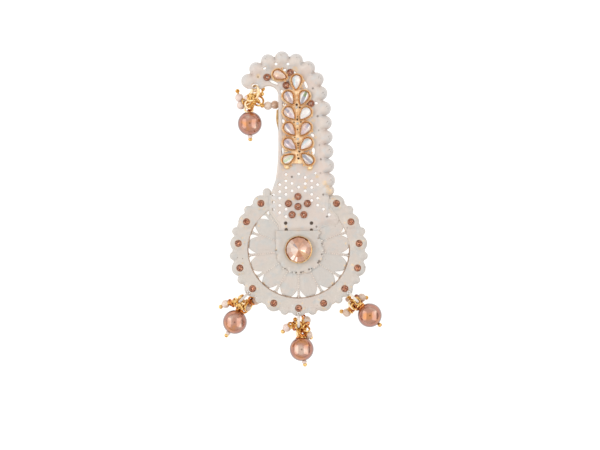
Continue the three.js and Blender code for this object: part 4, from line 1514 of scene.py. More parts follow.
    def _rim_wear(self) -> list[Spot]:
        """Where the enamel round each stone of the rim lets the gold through, and the chips about it.

        Returns:
            The places and radii.
        """
        chance = np.random.default_rng(SEED + 7)
        worn = [(*self.centre(place), self.worn_r) for place in self.places()]
        for place in self.places():
            for turn in chance.uniform(0, 360, self.chips):
                chip = self.centre(place) + heading(turn) * chance.uniform(2.0, 2.7)
                worn.append((*chip, chance.uniform(0.35, 0.6)))
        return worn

    def _swell(self, points: Points) -> Points:
        """How far the rosettes and the buds between them stand above the rim.

        Args:
            points: The points.

        Returns:
            One height for each point.
        """
        rise = np.zeros(len(points))
        for place in self.places():
            away = points - self.centre(place)
            r = away_from(away)
            turn = np.arctan2(away[:, 1], away[:, 0]) - math.radians(self.angle(place))
            crease = 1 - np.abs(np.cos(turn * self.rosette_petals / 2)) ** 0.4
            disc = self.rosette_rise * (1 - smoothed(r, 1.6, self.rosette_r + 0.2))
            rise = np.maximum(rise, disc - 0.16 * crease * smoothed(r, 1.8, 2.6))
        for x, y, r in self.buds():
            share = away_from(points, x, y) / r
            rise = np.maximum(rise, self.bud_rise * np.sqrt(np.maximum(0, 1 - share**2)))
        return rise

    def _rim_tone(self, points: Points) -> Points:
        """How grey the rim's enamel is, most in the buds and least round the stones."""
        return 0.15 + 0.5 * smoothed(away_from(points), 23.6, 27.0)

    def wheel_petals(self, work: Workbox) -> None:
        """Builds the wheel of petals with its beaded ribs and its corner windows.

        Args:
            work: The finishes and trees.
        """
        pitch = 360 / self.petals
        foot, rim = np.array(self.under_foot), ellipse(*self.wheel, 240)
        corners = {(number, side): 1.0 for number in range(self.petals) for side in (-1, 1)}
        corners |= dict(self.window_sizes)
        windows = [
            self._window(270 + rib * pitch, side, size) for (rib, side), size in corners.items() if size
        ]
        edge = np.vstack([from_top(rim[~inside(rim, [foot])]), foot[6:], foot[:2]])
        plume_foot = np.array(Plume.foot_outline())

        def top(points: Points, gap: Points) -> Points:
            """Convex fluted petals between raised ribs, flat under the plume's foot.

            Args:
                points: The points.
                gap: How far each is from an edge.

            Returns:
                One height for each point.
            """
            phase = ((bearing(points) - 270) / pitch) % 1.0
            away = away_from(points / self.wheel)
            rise = smoothed(away, 0.26, 0.5) * (1 - 0.4 * smoothed(away, 0.76, 0.94))
            arch = np.sin(math.pi * phase) ** 0.8
            flute = 0.5 + 0.5 * np.cos(2 * math.pi * self.flutes * (phase - 0.5))
            grooves = 0.08 * flute * smoothed(np.sin(math.pi * phase), 0.3, 0.7) * smoothed(away, 0.45, 0.6)
            near = np.minimum(phase, 1 - phase) * math.radians(pitch) * away_from(points)
            rib = 0.42 * np.exp(-((near / 0.62) ** 2))
            height = self.wheel_top + self.petal_rise * rise * arch - 0.08 + grooves + rib
            out = smoothed(away, 0.925, 0.968)
            height = height * (1 - out) + (self.wheel_top - 0.1) * out
            under = inside(points, [plume_foot])
            low = np.where(under, 0.0, smoothed(gap_to(points, [plume_foot]), 0.0, 0.25))
            return np.minimum(height, PLATE_BACK + 0.1) * (1 - low) + height * low

        shades = np.random.default_rng(SEED).uniform(0, 0.9, self.petals)

        def shade(points: Points) -> Points:
            """Each petal's own greyness."""
            return shades[np.floor(((bearing(points) - 270) / pitch) % self.petals).astype(int) % self.petals]

        casting = Casting(
            edge, WHEEL_BACK, top, windows, spacing=0.36, round_over=0.22, patches=self.wheel_wear,
            shade=shade,
        )
        piece = casting.draft().piece("wheel", [work.enamel, work.back_gold])
        present(piece, "enamel", "petal_wheel")
        runs = []
        for number in range(self.petals):
            ray = heading(270 + number * pitch)
            line = np.array([ray * r for r in np.arange(9.9, 20.2, 0.2)])
            line = line[~inside(line, [np.array(Plume.foot_outline(0.5))])]
            line = line[away_from(line / self.wheel) < 0.955]
            if len(line) > 3:
                runs.append(raised(line, self.wheel_top + 0.4))
        present(work.trees.beads_on("wheel_rib_beads", runs, 0.3, 0.86, work.rib_enamel), "enamel")

    def _window(self, rib: float, side: int, scale: float) -> Points:
        """The opening in the corner between a rib and the rim, bulged in by the petal's round end.

        Args:
            rib: The rib's heading.
            side: 1 for its anticlockwise side, -1 for the other.
            scale: Its size beside the others.

        Returns:
            Its edge.
        """
        near, base, depth, from_rim = self.window
        across, inward = heading(rib + 90 * side), heading(rib + 180)
        angle = math.radians(rib)
        on_rim = np.array([self.wheel[0] * math.cos(angle), self.wheel[1] * math.sin(angle)])

        def corner(along: float, into: float) -> Points:
            """A place from the rib's end."""
            sag = along * along / (2 * self.wheel[0])
            return on_rim + across * along + inward * (into + sag * (1 if into < 1 else 0.4))

        at_rim, far = corner(near, from_rim), corner(near + base * scale, from_rim)
        deep = corner(near, depth * scale)
        middle = (far + deep) / 2
        bulge = middle + (at_rim - middle) * 0.24
        curve = [far * (1 - t) ** 2 + bulge * 2 * t * (1 - t) + deep * t * t for t in np.linspace(0, 1, 7)]
        return softened(np.array([at_rim, *curve]), 2)

    def flower(self, work: Workbox) -> None:
        """Builds the flower in the middle, cut straight where the plume's foot meets it.

        Args:
            work: The finishes and trees.
        """
        middle = np.array(self.flower_at)
        loop = []
        for degrees in np.arange(0, 360, 1.5):
            ray = heading(degrees)
            r = self.flower_r + 0.75 * abs(math.cos(math.radians(degrees) * self.scallops / 2)) ** 0.6
            if 38 < degrees < 62:
                r = 11.0
            if 118 < degrees < 176:
                r = min(12.5, 9.6 / -ray[0])
            loop.append(middle + ray * r)
        loop = np.array(loop)
        loop[:, 1] = np.minimum(loop[:, 1], 7.6)

        def top(points: Points, gap: Points) -> Points:
            """A dished disc with a petal behind each scallop, thin at its edge.

            Args:
                points: The points.
                gap: How far each is from an edge.

            Returns:
                One height for each point.
            """
            from_middle = points - middle
            away = away_from(from_middle)
            turn = np.arctan2(from_middle[:, 1], from_middle[:, 0])
            crease = 1 - np.abs(np.cos(turn * self.scallops / 2)) ** 0.4
            low = points[:, 1] < 4.5
            dish = 0.14 * np.exp(-(((away - 6.4) / 0.5) ** 2))
            edge = np.where(low, 0.32, 0.0) * (1 - smoothed(gap, 0, 1.4))
            return self.flower_top - 0.42 * crease * smoothed(away, 7.2, 8.8) * low + dish - 0.1 - edge

        # Its blind holes carry a lighter painted shade, in the gaps between the scallops.
        casting = Casting(
            loop, FLOWER_BACK, top, sunk=self.flower_pits, sink_depth=0.35, pit_shade=0.6,
            patches=((-9.2, 0.2, 0.8), (8.9, -3.8, 0.6)),
            shade=lambda points: 0.2 + 0.4 * smoothed(points[:, 1], -9.0, 8.0),
        )
        piece = casting.draft().piece("flower", [work.enamel, work.back_gold])
        present(piece, "enamel", "centre_flower")
        lump = Draft.ball_unit("lump_unit", (0.42, 0.34, 0.3), 14, 9)
        z = self.flower_top - 0.38
        rows = [(*spot, z, 24.0 * i, 1.0 - 0.2 * (i % 2)) for i, spot in enumerate(self.lumps)]
        present(work.trees.copies_on("flower_lumps", lump, rows, work.rib_enamel), "enamel")

    def cup_and_stone(self, work: Workbox) -> None:
        """Builds the large round stone and the gold cup that holds it.

        Args:
            work: The finishes and trees.
        """
        cup, circle = Draft(), ellipse(1, 1, 96)
        # Painted shade down the cup's inner wall: dark on its upper-left side, lighter round the rest.
        shaded_side = circle @ heading(140) > -0.1
        rows = [np.where(shaded_side, number > 6, 0.45 * (number > 8)) for number in range(len(self.cup_profile))]
        pit = np.append(np.concatenate(rows), [0, 0])
        cup.loft([raised(circle * r, CUP_BACK + z) for r, z in self.cup_profile], pit=pit)
        present(cup.piece("large_stone_cup", [work.cup_gold], sharp=50), "gold", "rivoli_cup")
        cuts = [start for start, _, _ in self.sectors]
        spans = np.diff([*cuts, cuts[0] + 360])
        corners, tints = [], []
        for (start, inner, outer), span in zip(self.sectors, spans):
            parts = max(1, round(span / self.facet_span))
            corners.extend(start + span * i / parts for i in range(parts))
            tints.extend([(inner, outer)] * parts)
        rays = np.array([heading(turn) for turn in corners])
        n, apex, girdle = len(rays), height_of("rivoli", top=True), CUP_BACK + self.stone_girdle
        (front_r, share), (back_r, drop) = self.stone_front, self.stone_back

        points = np.vstack([
            raised(rays * self.stone_r, girdle), raised(rays * front_r, girdle + (apex - girdle) * share),
            [[0, 0, apex]], raised(rays * back_r, girdle - drop), [[0, 0, girdle - self.stone_depth]],
        ])
        stone = Draft()
        order = list(Tint)
        for i in range(n):
            j, low = (i + 1) % n, 2 * n + 1
            inner, outer = tints[i]
            stone.add(points, [[i, j, n + j, n + i], [n + i, n + j, 2 * n]], 0)
            # A white outer facet beside a darker inner one takes the glowing foil, a painted flash.
            flash = outer is Tint.WHITE and inner is not Tint.FROST
            stone.add(points, [[i, low + i, low + j, j]], 1 + (len(order) if flash else order.index(outer)))
            stone.add(points, [[low + i, low + n, low + j]], 1 + order.index(inner))
        foils = [work.foils[tint] for tint in Tint]
        piece = stone.piece("large_stone", [work.peach_glass, *foils, work.painted_flash_foil], sharp=1.0)
        piece.data.shade_flat()
        present(piece, "peach_stone", "rivoli")

    def rim_stones(self, work: Workbox) -> None:
        """Builds the stones in the rosettes and the gold rings that hold them."""
        rows = [(*self.centre(place), RIM_TOP + 0.82, 17.0 * place, 1.0) for place in self.places()]
        set_round_stones(work, "rim", rows, [f"rim_stone_{i + 1}" for i in range(len(rows))])

    def build(self, work: Workbox) -> None:
        """Builds every part of it.

        Args:
            work: The finishes and trees.
        """
        self.rim(work)
        self.wheel_petals(work)
        self.flower(work)
        self.cup_and_stone(work)
        self.rim_stones(work)


# ---- Plume


@dataclass
class Plume:
    """The curled plume: a pierced plate with a raised band along its side and lobes along its other edge.

    Attributes:
        curl: The middle, radius and end angle of the curl's inside.
        arc: The middle, radius, first heading, step and count of the lobes round the curl.
        line: The first place, last place and count of the lobes down the arm.
        last_lobe: The middle, heading and radius of the small lobe at the foot.
        creases: Places between lobes, darkened with painted shade by a dark prick.
        piercings: The round holes: each column's x and the heights of its holes.
        slots: The long holes: the middle, half the length, half the width and the heading of each.
        foot_holes: The blind holes.
        fan_flower: The middle of the fan's flower, its radius and how many stones are round it.
        worn: Where the enamel has worn through.
    """

    curl: tuple[float, float, float, float] = (-12.0, 61.6, 3.85, 135.0)
    arc: tuple[float, float, float, float, float, int] = (-6.4, 61.55, 15.1, 156.6, -21.8, 8)
    line: tuple[float, float, float, float, int] = (10.1, 56.5, 11.8, 27.8, 6)
    tip: Place = (-20.6, 64.4)
    lobe_r: float = 2.86
    lobe_rise: float = 2.6
    lobe_edge: float = 0.42
    lobe_tail: float = 5.4
    lobe_arc: float = 76.0
    last_lobe: tuple[float, float, float, float] = (12.3, 23.7, -18.0, 2.05)
    creases: tuple[Place, ...] = ((8.0, 47.7), (8.8, 36.3))
    band_wide: float = 1.75
    band_rise: float = 0.42
    piercing_r: float = 0.54
    piercings: tuple[tuple[float, tuple[float, ...]], ...] = (
        (-10.15, (21.9, 19.0, 16.0)),
        (-7.6, (26.0, 23.2, 20.6, 17.7, 14.8)),
        (-5.1, (30.1, 27.5, 24.8, 22.1, 16.2, 13.2)),
        (-2.7, (26.5, 23.5)),
        (0.0, (30.3, 25.0)),
        (2.6, (28.9, 26.4, 23.5)),
        (5.2, (27.5, 24.9, 22.1, 19.7)),
        (7.6, (26.0, 20.6, 17.8)),
        (9.9, (16.2,)),
        (12.2, (14.0,)),
    )
    slots: tuple[tuple[float, float, float, float, float], ...] = (
        (-9.9, 66.9, 1.75, 0.5, -24), (-9.1, 74.3, 0.6, 0.55, 0), (-4.3, 74.3, 0.6, 0.55, 0),
        (-13.7, 72.5, 0.7, 0.4, 30), (-5.6, 71.9, 0.6, 0.45, 20), (-1.6, 70.9, 0.5, 0.35, -40),
        (2.9, 66.0, 1.5, 0.5, -70), (7.0, 58.6, 0.65, 0.5, 0), (-6.8, 63.3, 0.7, 0.45, 90),
        (-5.6, 57.8, 0.9, 0.5, -40), (-6.2, 51.4, 0.85, 0.5, -70), (-0.4, 55.3, 0.85, 0.45, 90),
        (5.6, 45.8, 0.75, 0.5, -50), (5.9, 39.4, 1.45, 0.6, 90), (-6.45, 39.4, 1.45, 0.38, 90),
        (-17.4, 65.6, 1.3, 0.8, 0), (6.7, 30.6, 0.5, 0.4, 60),
    )
    foot_holes: tuple[Spot, ...] = (
        (-5.2, 10.6, 0.72), (-5.0, 7.95, 0.72), (5.1, 10.6, 0.74), (5.1, 7.85, 0.66), (7.1, 9.2, 0.4),
        (-4.2, 67.1, 0.46), (11.3, 13.2, 0.4), (13.1, 17.7, 0.4), (9.8, 22.0, 0.42), (-2.7, 29.1, 0.46),
        (-16.3, 69.0, 0.4), (5.7, 64.4, 0.42), (7.6, 53.3, 0.44), (8.3, 41.8, 0.34), (8.9, 36.0, 0.36),
        (8.7, 30.6, 0.34),
    )
    fan_flower: tuple[float, float, float, int] = (-0.3, 17.2, 4.0, 5)
    stones: tuple[Place, ...] = ((-12.7, 68.9), (-3.4, 70.8), (-5.0, 65.7), (4.9, 58.4))
    worn: tuple[Spot, ...] = (
        (-5.1, 9.3, 0.75), (10.4, 26.6, 1.3), (12.4, 23.2, 1.9), (11.6, 25.0, 1.2), (7.4, 29.4, 1.1),
        (2.6, 24.9, 0.9), (-4.0, 19.6, 1.3), (0.0, 13.9, 0.7), (3.2, 27.5, 0.7), (-1.5, 71.9, 1.7),
        (-16.2, 69.3, 1.3), (-4.3, 33.0, 1.6), (4.3, 32.6, 1.8), (5.8, 51.6, 1.0), (6.7, 45.0, 0.9),
        (-6.2, 31.9, 0.6), (-2.0, 20.3, 0.9), (-6.1, 57.4, 0.9), (-6.1, 51.2, 0.9), (-6.1, 45.0, 0.9),
        (-6.2, 38.9, 0.9), (5.4, 55.2, 0.8), (5.7, 39.4, 1.1),
    )

    @staticmethod
    def side() -> list[Place]:
        """The foot and the arm's left side, from the foot's right corner round to the curl.

        Returns:
            The places along it.
        """
        return [
            (12.2, 20.4), (11.9, 19.2), (12.1, 16.6), (13.5, 15.0), (15.3, 12.6), (15.2, 10.4), (12.0, 10.1),
            (8.6, 9.3), (7.1, 7.2), (-7.1, 7.2), (-7.6, 10.5), (-9.4, 12.9), (-11.1, 15.4), (-11.2, 18.5),
            (-11.1, 22.0), (-10.3, 25.0), (-9.3, 27.8), (-8.7, 31.8), (-8.35, 35.6), (-8.2, 40.0),
            (-8.15, 50.0),
        ]

    @classmethod
    def foot_outline(cls, grown: float = 0.0) -> list[Place]:
        """The part of the plume that lies over the medallion, grown by a margin.

        Args:
            grown: The margin.

        Returns:
            The part's edge as a loop.
        """
        edge = [p for p in cls.side() if p[1] < 25]
        loop = np.array([*edge, (-11.0, 27.0), (13.6, 27.0)])
        middle = np.array([0.0, 17.0])
        away = loop - middle
        return (middle + away * (1 + grown / np.linalg.norm(away, axis=1))[:, None]).tolist()

    def lobe_places(self) -> list[tuple[float, float, float, float]]:
        """Each lobe's middle, heading and radius, round the curl and down the arm.

        Returns:
            For each lobe, its x, y, heading and radius.
        """
        x, y, r, start, step, count = self.arc
        places = []
        for i in range(count):
            out = heading(start + i * step)
            places.append((x + r * out[0], y + r * out[1], start + i * step, self.lobe_r))
        x0, y0, x1, y1, count = self.line
        for i in range(count):
            share = i / (count - 1)
            places.append((x0 + (x1 - x0) * share, y0 + (y1 - y0) * share, 0.0, self.lobe_r))
        return [*places, self.last_lobe]

    def curl_line(self) -> Points:
        """The curl's inside, from the arm round to the tip."""
        x, y, r, end = self.curl
        return np.array([np.array([x, y]) + r * heading(turn) for turn in np.linspace(0, end, 28)])

    def outline(self) -> Points:
        """The plate's edge, scalloped where the lobes are.

        Returns:
            The edge as a loop.
        """
        arcs = []
        for x, y, turn, r in self.lobe_places():
            spread = np.linspace(self.lobe_arc, -self.lobe_arc, 17)
            arcs.append(np.array([np.array([x, y]) + r * heading(turn + aside) for aside in spread]))
        return np.vstack([np.array(self.side()), self.curl_line(), [self.tip], *arcs])

    def plate(self, work: Workbox) -> None:
        """Builds the pierced plate.

        Args:
            work: The finishes and trees.
        """
        holes = [disc_loop(x, y, self.piercing_r, 16) for x, ys in self.piercings for y in ys]
        holes += [turned(ellipse(half, thin, 20), x, y, turn) for x, y, half, thin, turn in self.slots]
        outline = self.outline()
        band = np.vstack([[p for p in self.side() if p[0] < -7.05 and p[1] > 21], self.curl_line()])

        def top(points: Points, gap: Points) -> Points:
            """A plate with a raised band up its left side, swelling round its stones and into its lobes.

            Args:
                points: The points.
                gap: How far each is from an edge.

            Returns:
                One height for each point.
            """
            edge = gap_to(points, [outline])
            foot = 1 - smoothed(points[:, 1], 20.0, 27.0)
            lobes, near = self._lobes(points)
            height = PLATE_TOP - 0.95 * foot * (1 - smoothed(edge, 0, 2.2))
            height -= 0.5 * near * (1 - smoothed(edge, 0, 2.0))
            height -= 0.1 * (1 - smoothed(gap, 0, 0.5))
            for x, y in [*self.fan_places(), *self.stones]:
                height = height + 0.16 * (1 - smoothed(away_from(points, x, y), 1.5, 2.2))
            aside = gap_to_line(points, band) / self.band_wide
            crown = np.sqrt(np.maximum(0, 1 - (2 * np.minimum(aside, 1) - 1) ** 2))
            height += self.band_rise * (1 - foot) * crown
            soft = 4.0
            return np.logaddexp(soft * height, soft * lobes) / soft - 0.02

        def shade(points: Points) -> Points:
            """Greyer towards the lobes' ends: painted shade where each lobe curves down to its edge.

            Args:
                points: The points.

            Returns:
                One tone for each point.
            """
            tone = np.full(len(points), 0.25)
            for x, y, turn, r in self.lobe_places():
                away = points - [x, y]
                close = away_from(away) < r * 1.1
                tone = np.where(close, 0.1 + 0.9 * smoothed(away @ heading(turn), -0.4, 2.2), tone)
            return tone

        # Its blind holes are darkened with painted shade, fully in the foot's large ones and less in smaller
        # ones.
        casting = Casting(
            outline, PLATE_BACK, top, holes, sunk=self.foot_holes, patches=self.worn, spacing=0.4,
            full_r=0.66, shade=shade,
        )
        piece = casting.draft().piece("plume", [work.plume_enamel, work.back_gold])
        present(piece, "enamel", "plume_plate")
        self._pricks(work, lambda spot: float(top(spot[None, :], np.array([9.0]))[0]))

    def _lobes(self, points: Points) -> tuple[Points, Points]:
        """The lobes' surface at some points, and how near those are to a lobe.

        Args:
            points: The points.

        Returns:
            The heights, low away from the lobes, and a share that is one on a lobe.
        """
        height, near = np.full(len(points), PLATE_BACK), np.zeros(len(points))
        for x, y, turn, r in self.lobe_places():
            away = points - [x, y]
            along, across = away @ heading(turn), away @ heading(turn + 90)
            inward = smoothed(-along, 0.2, self.lobe_tail)
            from_middle = np.hypot(np.maximum(along, 0), across * (1 - 0.85 * inward)) / r
            dome = np.sqrt(np.maximum(0, 1 - from_middle**2))
            lobe = self.lobe_edge + (self.lobe_rise * r / self.lobe_r) * dome * (1 - inward)
            height = np.maximum(height, PLATE_BACK + lobe * (away_from(away) < r + self.lobe_tail))
            near = np.maximum(near, 1 - smoothed(away_from(away), r * 1.05, r * 1.6))
        return height, near

    def fan_places(self) -> list[Place]:
        """The middles of the six stones of the fan's flower.

        Returns:
            The middle one, then those round it.
        """
        x, y, r, count = self.fan_flower
        around = [tuple(np.array([x, y]) + r * heading(90 + i * 360 / count)) for i in range(count)]
        return [(x, y), *around]

    def _pricks(self, work: Workbox, height: Callable[[Points], float]) -> None:
        """Builds the small dark pricks in the lobes.

        Args:
            work: The finishes and trees.
            height: The plume's height at a place.
        """
        # The pricks at the creases are painted shade between lobes; those on the lobes are marks in the
        # enamel.
        pricks = [(x, y, height(np.array([x, y])), 80.0, 1.2) for x, y in self.creases]
        for number, (x, y, turn, _) in enumerate(self.lobe_places()[2:-1]):
            out, side = heading(turn), heading(turn + 90)
            for along, across, size in ((1.05, 0.45, 1.1), (1.5, -0.35, 0.8), (0.6, 0.0, 0.6)):
                spot = np.array([x, y]) + out * along + side * (across - 0.3 * (number % 3) + 0.2)
                swell = size * (0.7 + 0.15 * (number % 2))
                pricks.append((*spot, height(spot) - 0.02, turn + 60 * number, swell))
        unit = Draft.ball_unit("prick_unit", (0.34, 0.19, 0.14), 10, 6, pit=0.7)
        present(work.trees.copies_on("lobe_pricks", unit, pricks, work.plume_enamel), "enamel")

    def foot_fillet(self, work: Workbox) -> None:
        """Builds the run of enamel that joins the foot's edge to the medallion.

        Args:
            work: The finishes and trees.
        """
        edge = np.array([p for p in self.side() if p[1] < 25])
        lines = [raised(smooth_line(side, 60), RIM_TOP - 0.5) for side in (edge[:9], edge[9:])]
        girth = np.minimum(1, 0.4 + np.sin(np.linspace(0, math.pi, 60)) * 3)
        fillet = work.trees.wires_on("foot_fillet", lines, 1.0, work.enamel, girths=[girth, girth])
        present(fillet, "enamel")

    def plate_stones(self, work: Workbox) -> None:
        """Builds the round stones of the plume and their gold rings.

        Args:
            work: The finishes and trees.
        """
        places = [*self.fan_places(), *self.stones]
        rows = [(x, y, PLATE_TOP + 0.62, 31.0 * i, 1.0) for i, (x, y) in enumerate(places)]
        nodes = [f"fan_stone_{i + 1}" for i in range(6)] + [f"plume_stone_{i + 1}" for i in range(4)]
        set_round_stones(work, "plume", rows, nodes)

    def build(self, work: Workbox) -> None:
        """Builds every part of it.

        Args:
            work: The finishes and trees.
        """
        self.plate(work)
        self.foot_fillet(work)
        self.plate_stones(work)


def smooth_line(line: Points, count: int) -> Points:
    """A line through some points with its steps made even and its bends made gentle.

    Args:
        line: The points.
        count: How many points the result has.

    Returns:
        The smoother line.
    """
    lengths = np.concatenate([[0], np.cumsum(np.linalg.norm(np.diff(line, axis=0), axis=1))])
    even = np.linspace(0, lengths[-1], count)
    made = np.column_stack([np.interp(even, lengths, line[:, axis]) for axis in range(line.shape[1])])
    for _ in range(6):
        made[1:-1] = (made[:-2] + 2 * made[1:-1] + made[2:]) / 4
    return made


# ---- Pear stones


@dataclass
class PearRow:
    """The pear stones up the plume, each in a gold collet, with the goldwork that joins them.

    Attributes:
        length: A stone's length.
        width: A stone's width.
        pears: Each stone's middle, the heading of its point, and its size beside the others.
        collet: The section of a collet: how far it stands out from the stone, its height, and how much
            painted shade darkens it there.
        pad: The section of the pad under it: how far it stands out, and its height.
        spine: The middle line of the plate between the two columns.
        spine_holes: The blind holes in that plate.
        granules: The enamel balls up the middle.
        grains: The turn and distance from each stone of the gold grains round it.
        grain_gap: How far a grain keeps from a collet.
        plate_sides: Where the sides of the plate are, from x to x.
        fans: The middle and heading of each small fan.
        columns: Where the facets of a stone meet from side to side, as shares of half its width.
        facet_rows: How many rows of corners run across a stone.
        tints: The foil behind each stone, strip by strip across it, partly painted highlights and
            reflections.
        spots: The darker reflection near each stone's round end, where it has one.
    """

    length: float = 5.6
    width: float = 3.75
    points: int = 48
    pears: tuple[tuple[float, float, float, float], ...] = (
        (-7.5, 69.6, -19, 0.98), (-0.9, 66.8, -94, 1.0), (-3.75, 60.5, -60, 1.0), (1.9, 60.5, -113, 1.0),
        (-3.5, 54.3, -48, 1.0), (2.35, 54.2, -130, 1.0), (-3.4, 48.0, -50, 1.0), (2.45, 48.0, -125, 1.0),
        (-3.4, 41.9, -40, 1.0), (2.8, 42.0, -138, 0.98), (-4.0, 36.3, 33, 0.9), (3.3, 36.4, 140, 0.98),
    )
    collet: tuple[Spot, ...] = (
        (0.7, 0.0, 0.6), (0.68, 0.8, 0.9), (0.61, 1.02, 0.8), (0.54, 1.22, 0.0), (0.42, 1.3, 0.0),
        (0.32, 1.2, 0.1), (0.28, 1.0, 1.0), (0.15, 1.0, 1.0), (0.12, 1.22, 0.1), (0.06, 1.3, 0.0),
        (0.0, 1.24, 0.7), (-0.05, 1.1, 1.0), (-0.06, 0.1, 1.0),
    )
    pad: tuple[Place, ...] = ((0.96, -0.28), (0.99, 0.1), (0.95, 0.34), (0.8, 0.46), (0.4, 0.48))
    spine: float = -0.45
    spine_holes: tuple[Spot, ...] = (
        (-0.8, 57.9, 0.52), (0.5, 56.8, 0.45), (0.95, 51.2, 0.56), (-0.5, 52.0, 0.44), (-0.4, 53.2, 0.32),
        (-0.45, 48.9, 0.3), (-0.5, 48.0, 0.32), (-0.2, 42.6, 0.56), (-0.3, 41.5, 0.38), (-0.3, 40.6, 0.32),
        (0.3, 39.3, 0.5), (-0.1, 36.5, 0.5), (-0.4, 37.8, 0.3), (-0.5, 60.0, 0.34), (-0.4, 61.4, 0.28),
        (-1.6, 44.9, 0.3), (0.9, 45.2, 0.32), (-1.9, 50.9, 0.3),
    )
    granules: tuple[Place, ...] = ((-0.9, 56.8), (-0.5, 50.4), (-0.3, 44.2))
    grains: tuple[Place, ...] = ((20, 3.1), (75, 3.2), (140, 3.1), (215, 3.1), (265, 3.2), (325, 3.1))
    grain_gap: float = 0.12
    plate_sides: Place = (-6.6, 6.4)
    fans: tuple[Spot, ...] = ((-4.7, 33.5, -110.0), (4.4, 33.2, -70.0))
    columns: tuple[float, ...] = (-1.0, -0.6, -0.2, 0.24, 0.62, 1.0)
    facet_rows: int = 13
    # The white and frost strips are partly painted highlights; the mauve, lilac and steel ones are partly
    # painted darker reflections.
    tints: tuple[tuple[Tint, ...], ...] = (
        (Tint.PEACH, Tint.BLUSH, Tint.CREAM, Tint.WHITE, Tint.BLUSH),
        (Tint.WHITE, Tint.SKY, Tint.WHITE, Tint.CREAM, Tint.TAN),
        (Tint.CREAM, Tint.BLUSH, Tint.MAUVE, Tint.FROST, Tint.CREAM),
        (Tint.CREAM, Tint.WHITE, Tint.STEEL, Tint.WHITE, Tint.TAN),
        (Tint.WHITE, Tint.BLUSH, Tint.LILAC, Tint.FROST, Tint.CREAM),
        (Tint.WHITE, Tint.WHITE, Tint.WHITE, Tint.WHITE, Tint.WHITE),
        (Tint.CREAM, Tint.FROST, Tint.MAUVE, Tint.BLUSH, Tint.CREAM),
        (Tint.BLUSH, Tint.BLUSH, Tint.LILAC, Tint.FROST, Tint.CREAM),
        (Tint.WHITE, Tint.LILAC, Tint.MAUVE, Tint.LILAC, Tint.CREAM),
        (Tint.WHITE, Tint.SKY, Tint.WHITE, Tint.CREAM, Tint.PEACH),
        (Tint.HONEY, Tint.WHITE, Tint.MINT, Tint.CREAM, Tint.CREAM),
        (Tint.HONEY, Tint.WHITE, Tint.STEEL, Tint.FROST, Tint.BLUSH),
    )
    spots: tuple[Tint | None, ...] = (
        None, None, Tint.SLATE, Tint.MOSS, Tint.SLATE, None,
        Tint.SLATE, Tint.SLATE, Tint.SLATE, None, None, None,
    )

    def pear_loop(self, margin: float) -> Points:
        """A pear outline with its point along +X, grown by a margin.

        Args:
            margin: How far it is grown.

        Returns:
            The outline about its own middle.
        """
        r = self.width / 2
        round_at, tip = -self.length / 2 + r, self.length / 2
        shoulder = math.acos(r / (tip - round_at))
        loop = []
        for turn in full_turn(self.points):
            aside = min(turn, 2 * math.pi - turn)
            if aside >= shoulder:
                loop.append((round_at + r * math.cos(turn), r * math.sin(turn)))
            else:
                share = aside / shoulder
                edge = np.array([round_at + r * math.cos(shoulder), r * math.sin(shoulder)])
                on = np.array([tip, 0.0]) * (1 - share) + edge * share
                bow = 0.17 * math.sin(math.pi * share)
                on = on + np.array([math.cos(shoulder), math.sin(shoulder)]) * bow
                loop.append((on[0], on[1] if turn <= math.pi else -on[1]))
        loop = np.array(loop)
        run = np.roll(loop, -1, axis=0) - np.roll(loop, 1, axis=0)
        out = np.column_stack([run[:, 1], -run[:, 0]])
        out /= np.linalg.norm(out, axis=1)[:, None]
        return loop + out * margin

    def _placed(self, number: int, loop: Points, z: float) -> Points:
        """A loop about a stone's own middle, set in its place and at a height."""
        return raised(turned(loop, *self.pears[number]), z)

    def collets(self, work: Workbox) -> None:
        """Builds the collets, the pads under them and the pierced plate that joins them.

        Args:
            work: The finishes and trees.
        """
        draft, pads = Draft(), Draft()
        # The collet's third column is painted shade: darkest in its groove and down its inner wall, less on
        # its lower outer wall.
        pit = np.append(np.repeat([pit_shade_and_soil for _, _, pit_shade_and_soil in self.collet], self.points), [0, 0])
        for number in range(len(self.pears)):
            walls = [self._placed(number, self.pear_loop(m), SETTINGS_BACK + z) for m, z, _ in self.collet]
            draft.loft(walls, pit=pit)
            pads.loft([self._placed(number, self.pear_loop(m), SETTINGS_BACK + z) for m, z in self.pad])
        present(draft.piece("pear_collets", [work.gold], sharp=60), "gold", "pear_settings")
        present(pads.piece("pear_pads", [work.pale_gold], sharp=60), "gold")
        y = np.linspace(34.4, 64.0, 60)
        half = 2.1 + 0.4 * np.cos((y - 45.0) * 2 * math.pi / 6.1)
        right, left = np.column_stack([self.spine + half, y]), np.column_stack([self.spine - half, y])

        def top(points: Points, _: Points) -> Points:
            """A flat plate with two low ridges up its middle."""
            aside = np.abs(np.abs(points[:, 0] - self.spine) - 0.62)
            return SETTINGS_BACK + 0.46 + 0.2 * np.exp(-((aside / 0.24) ** 2))

        # Its blind holes are darkened with painted shade.
        plate = Casting(
            np.vstack([right, left[::-1]]), SETTINGS_BACK - 0.28, top, sunk=self.spine_holes, sink_depth=0.4,
            round_over=0.15, spacing=0.3,
        )
        piece = plate.draft().piece("pear_spine", [work.pale_gold, work.back_gold])
        present(piece, "gold")

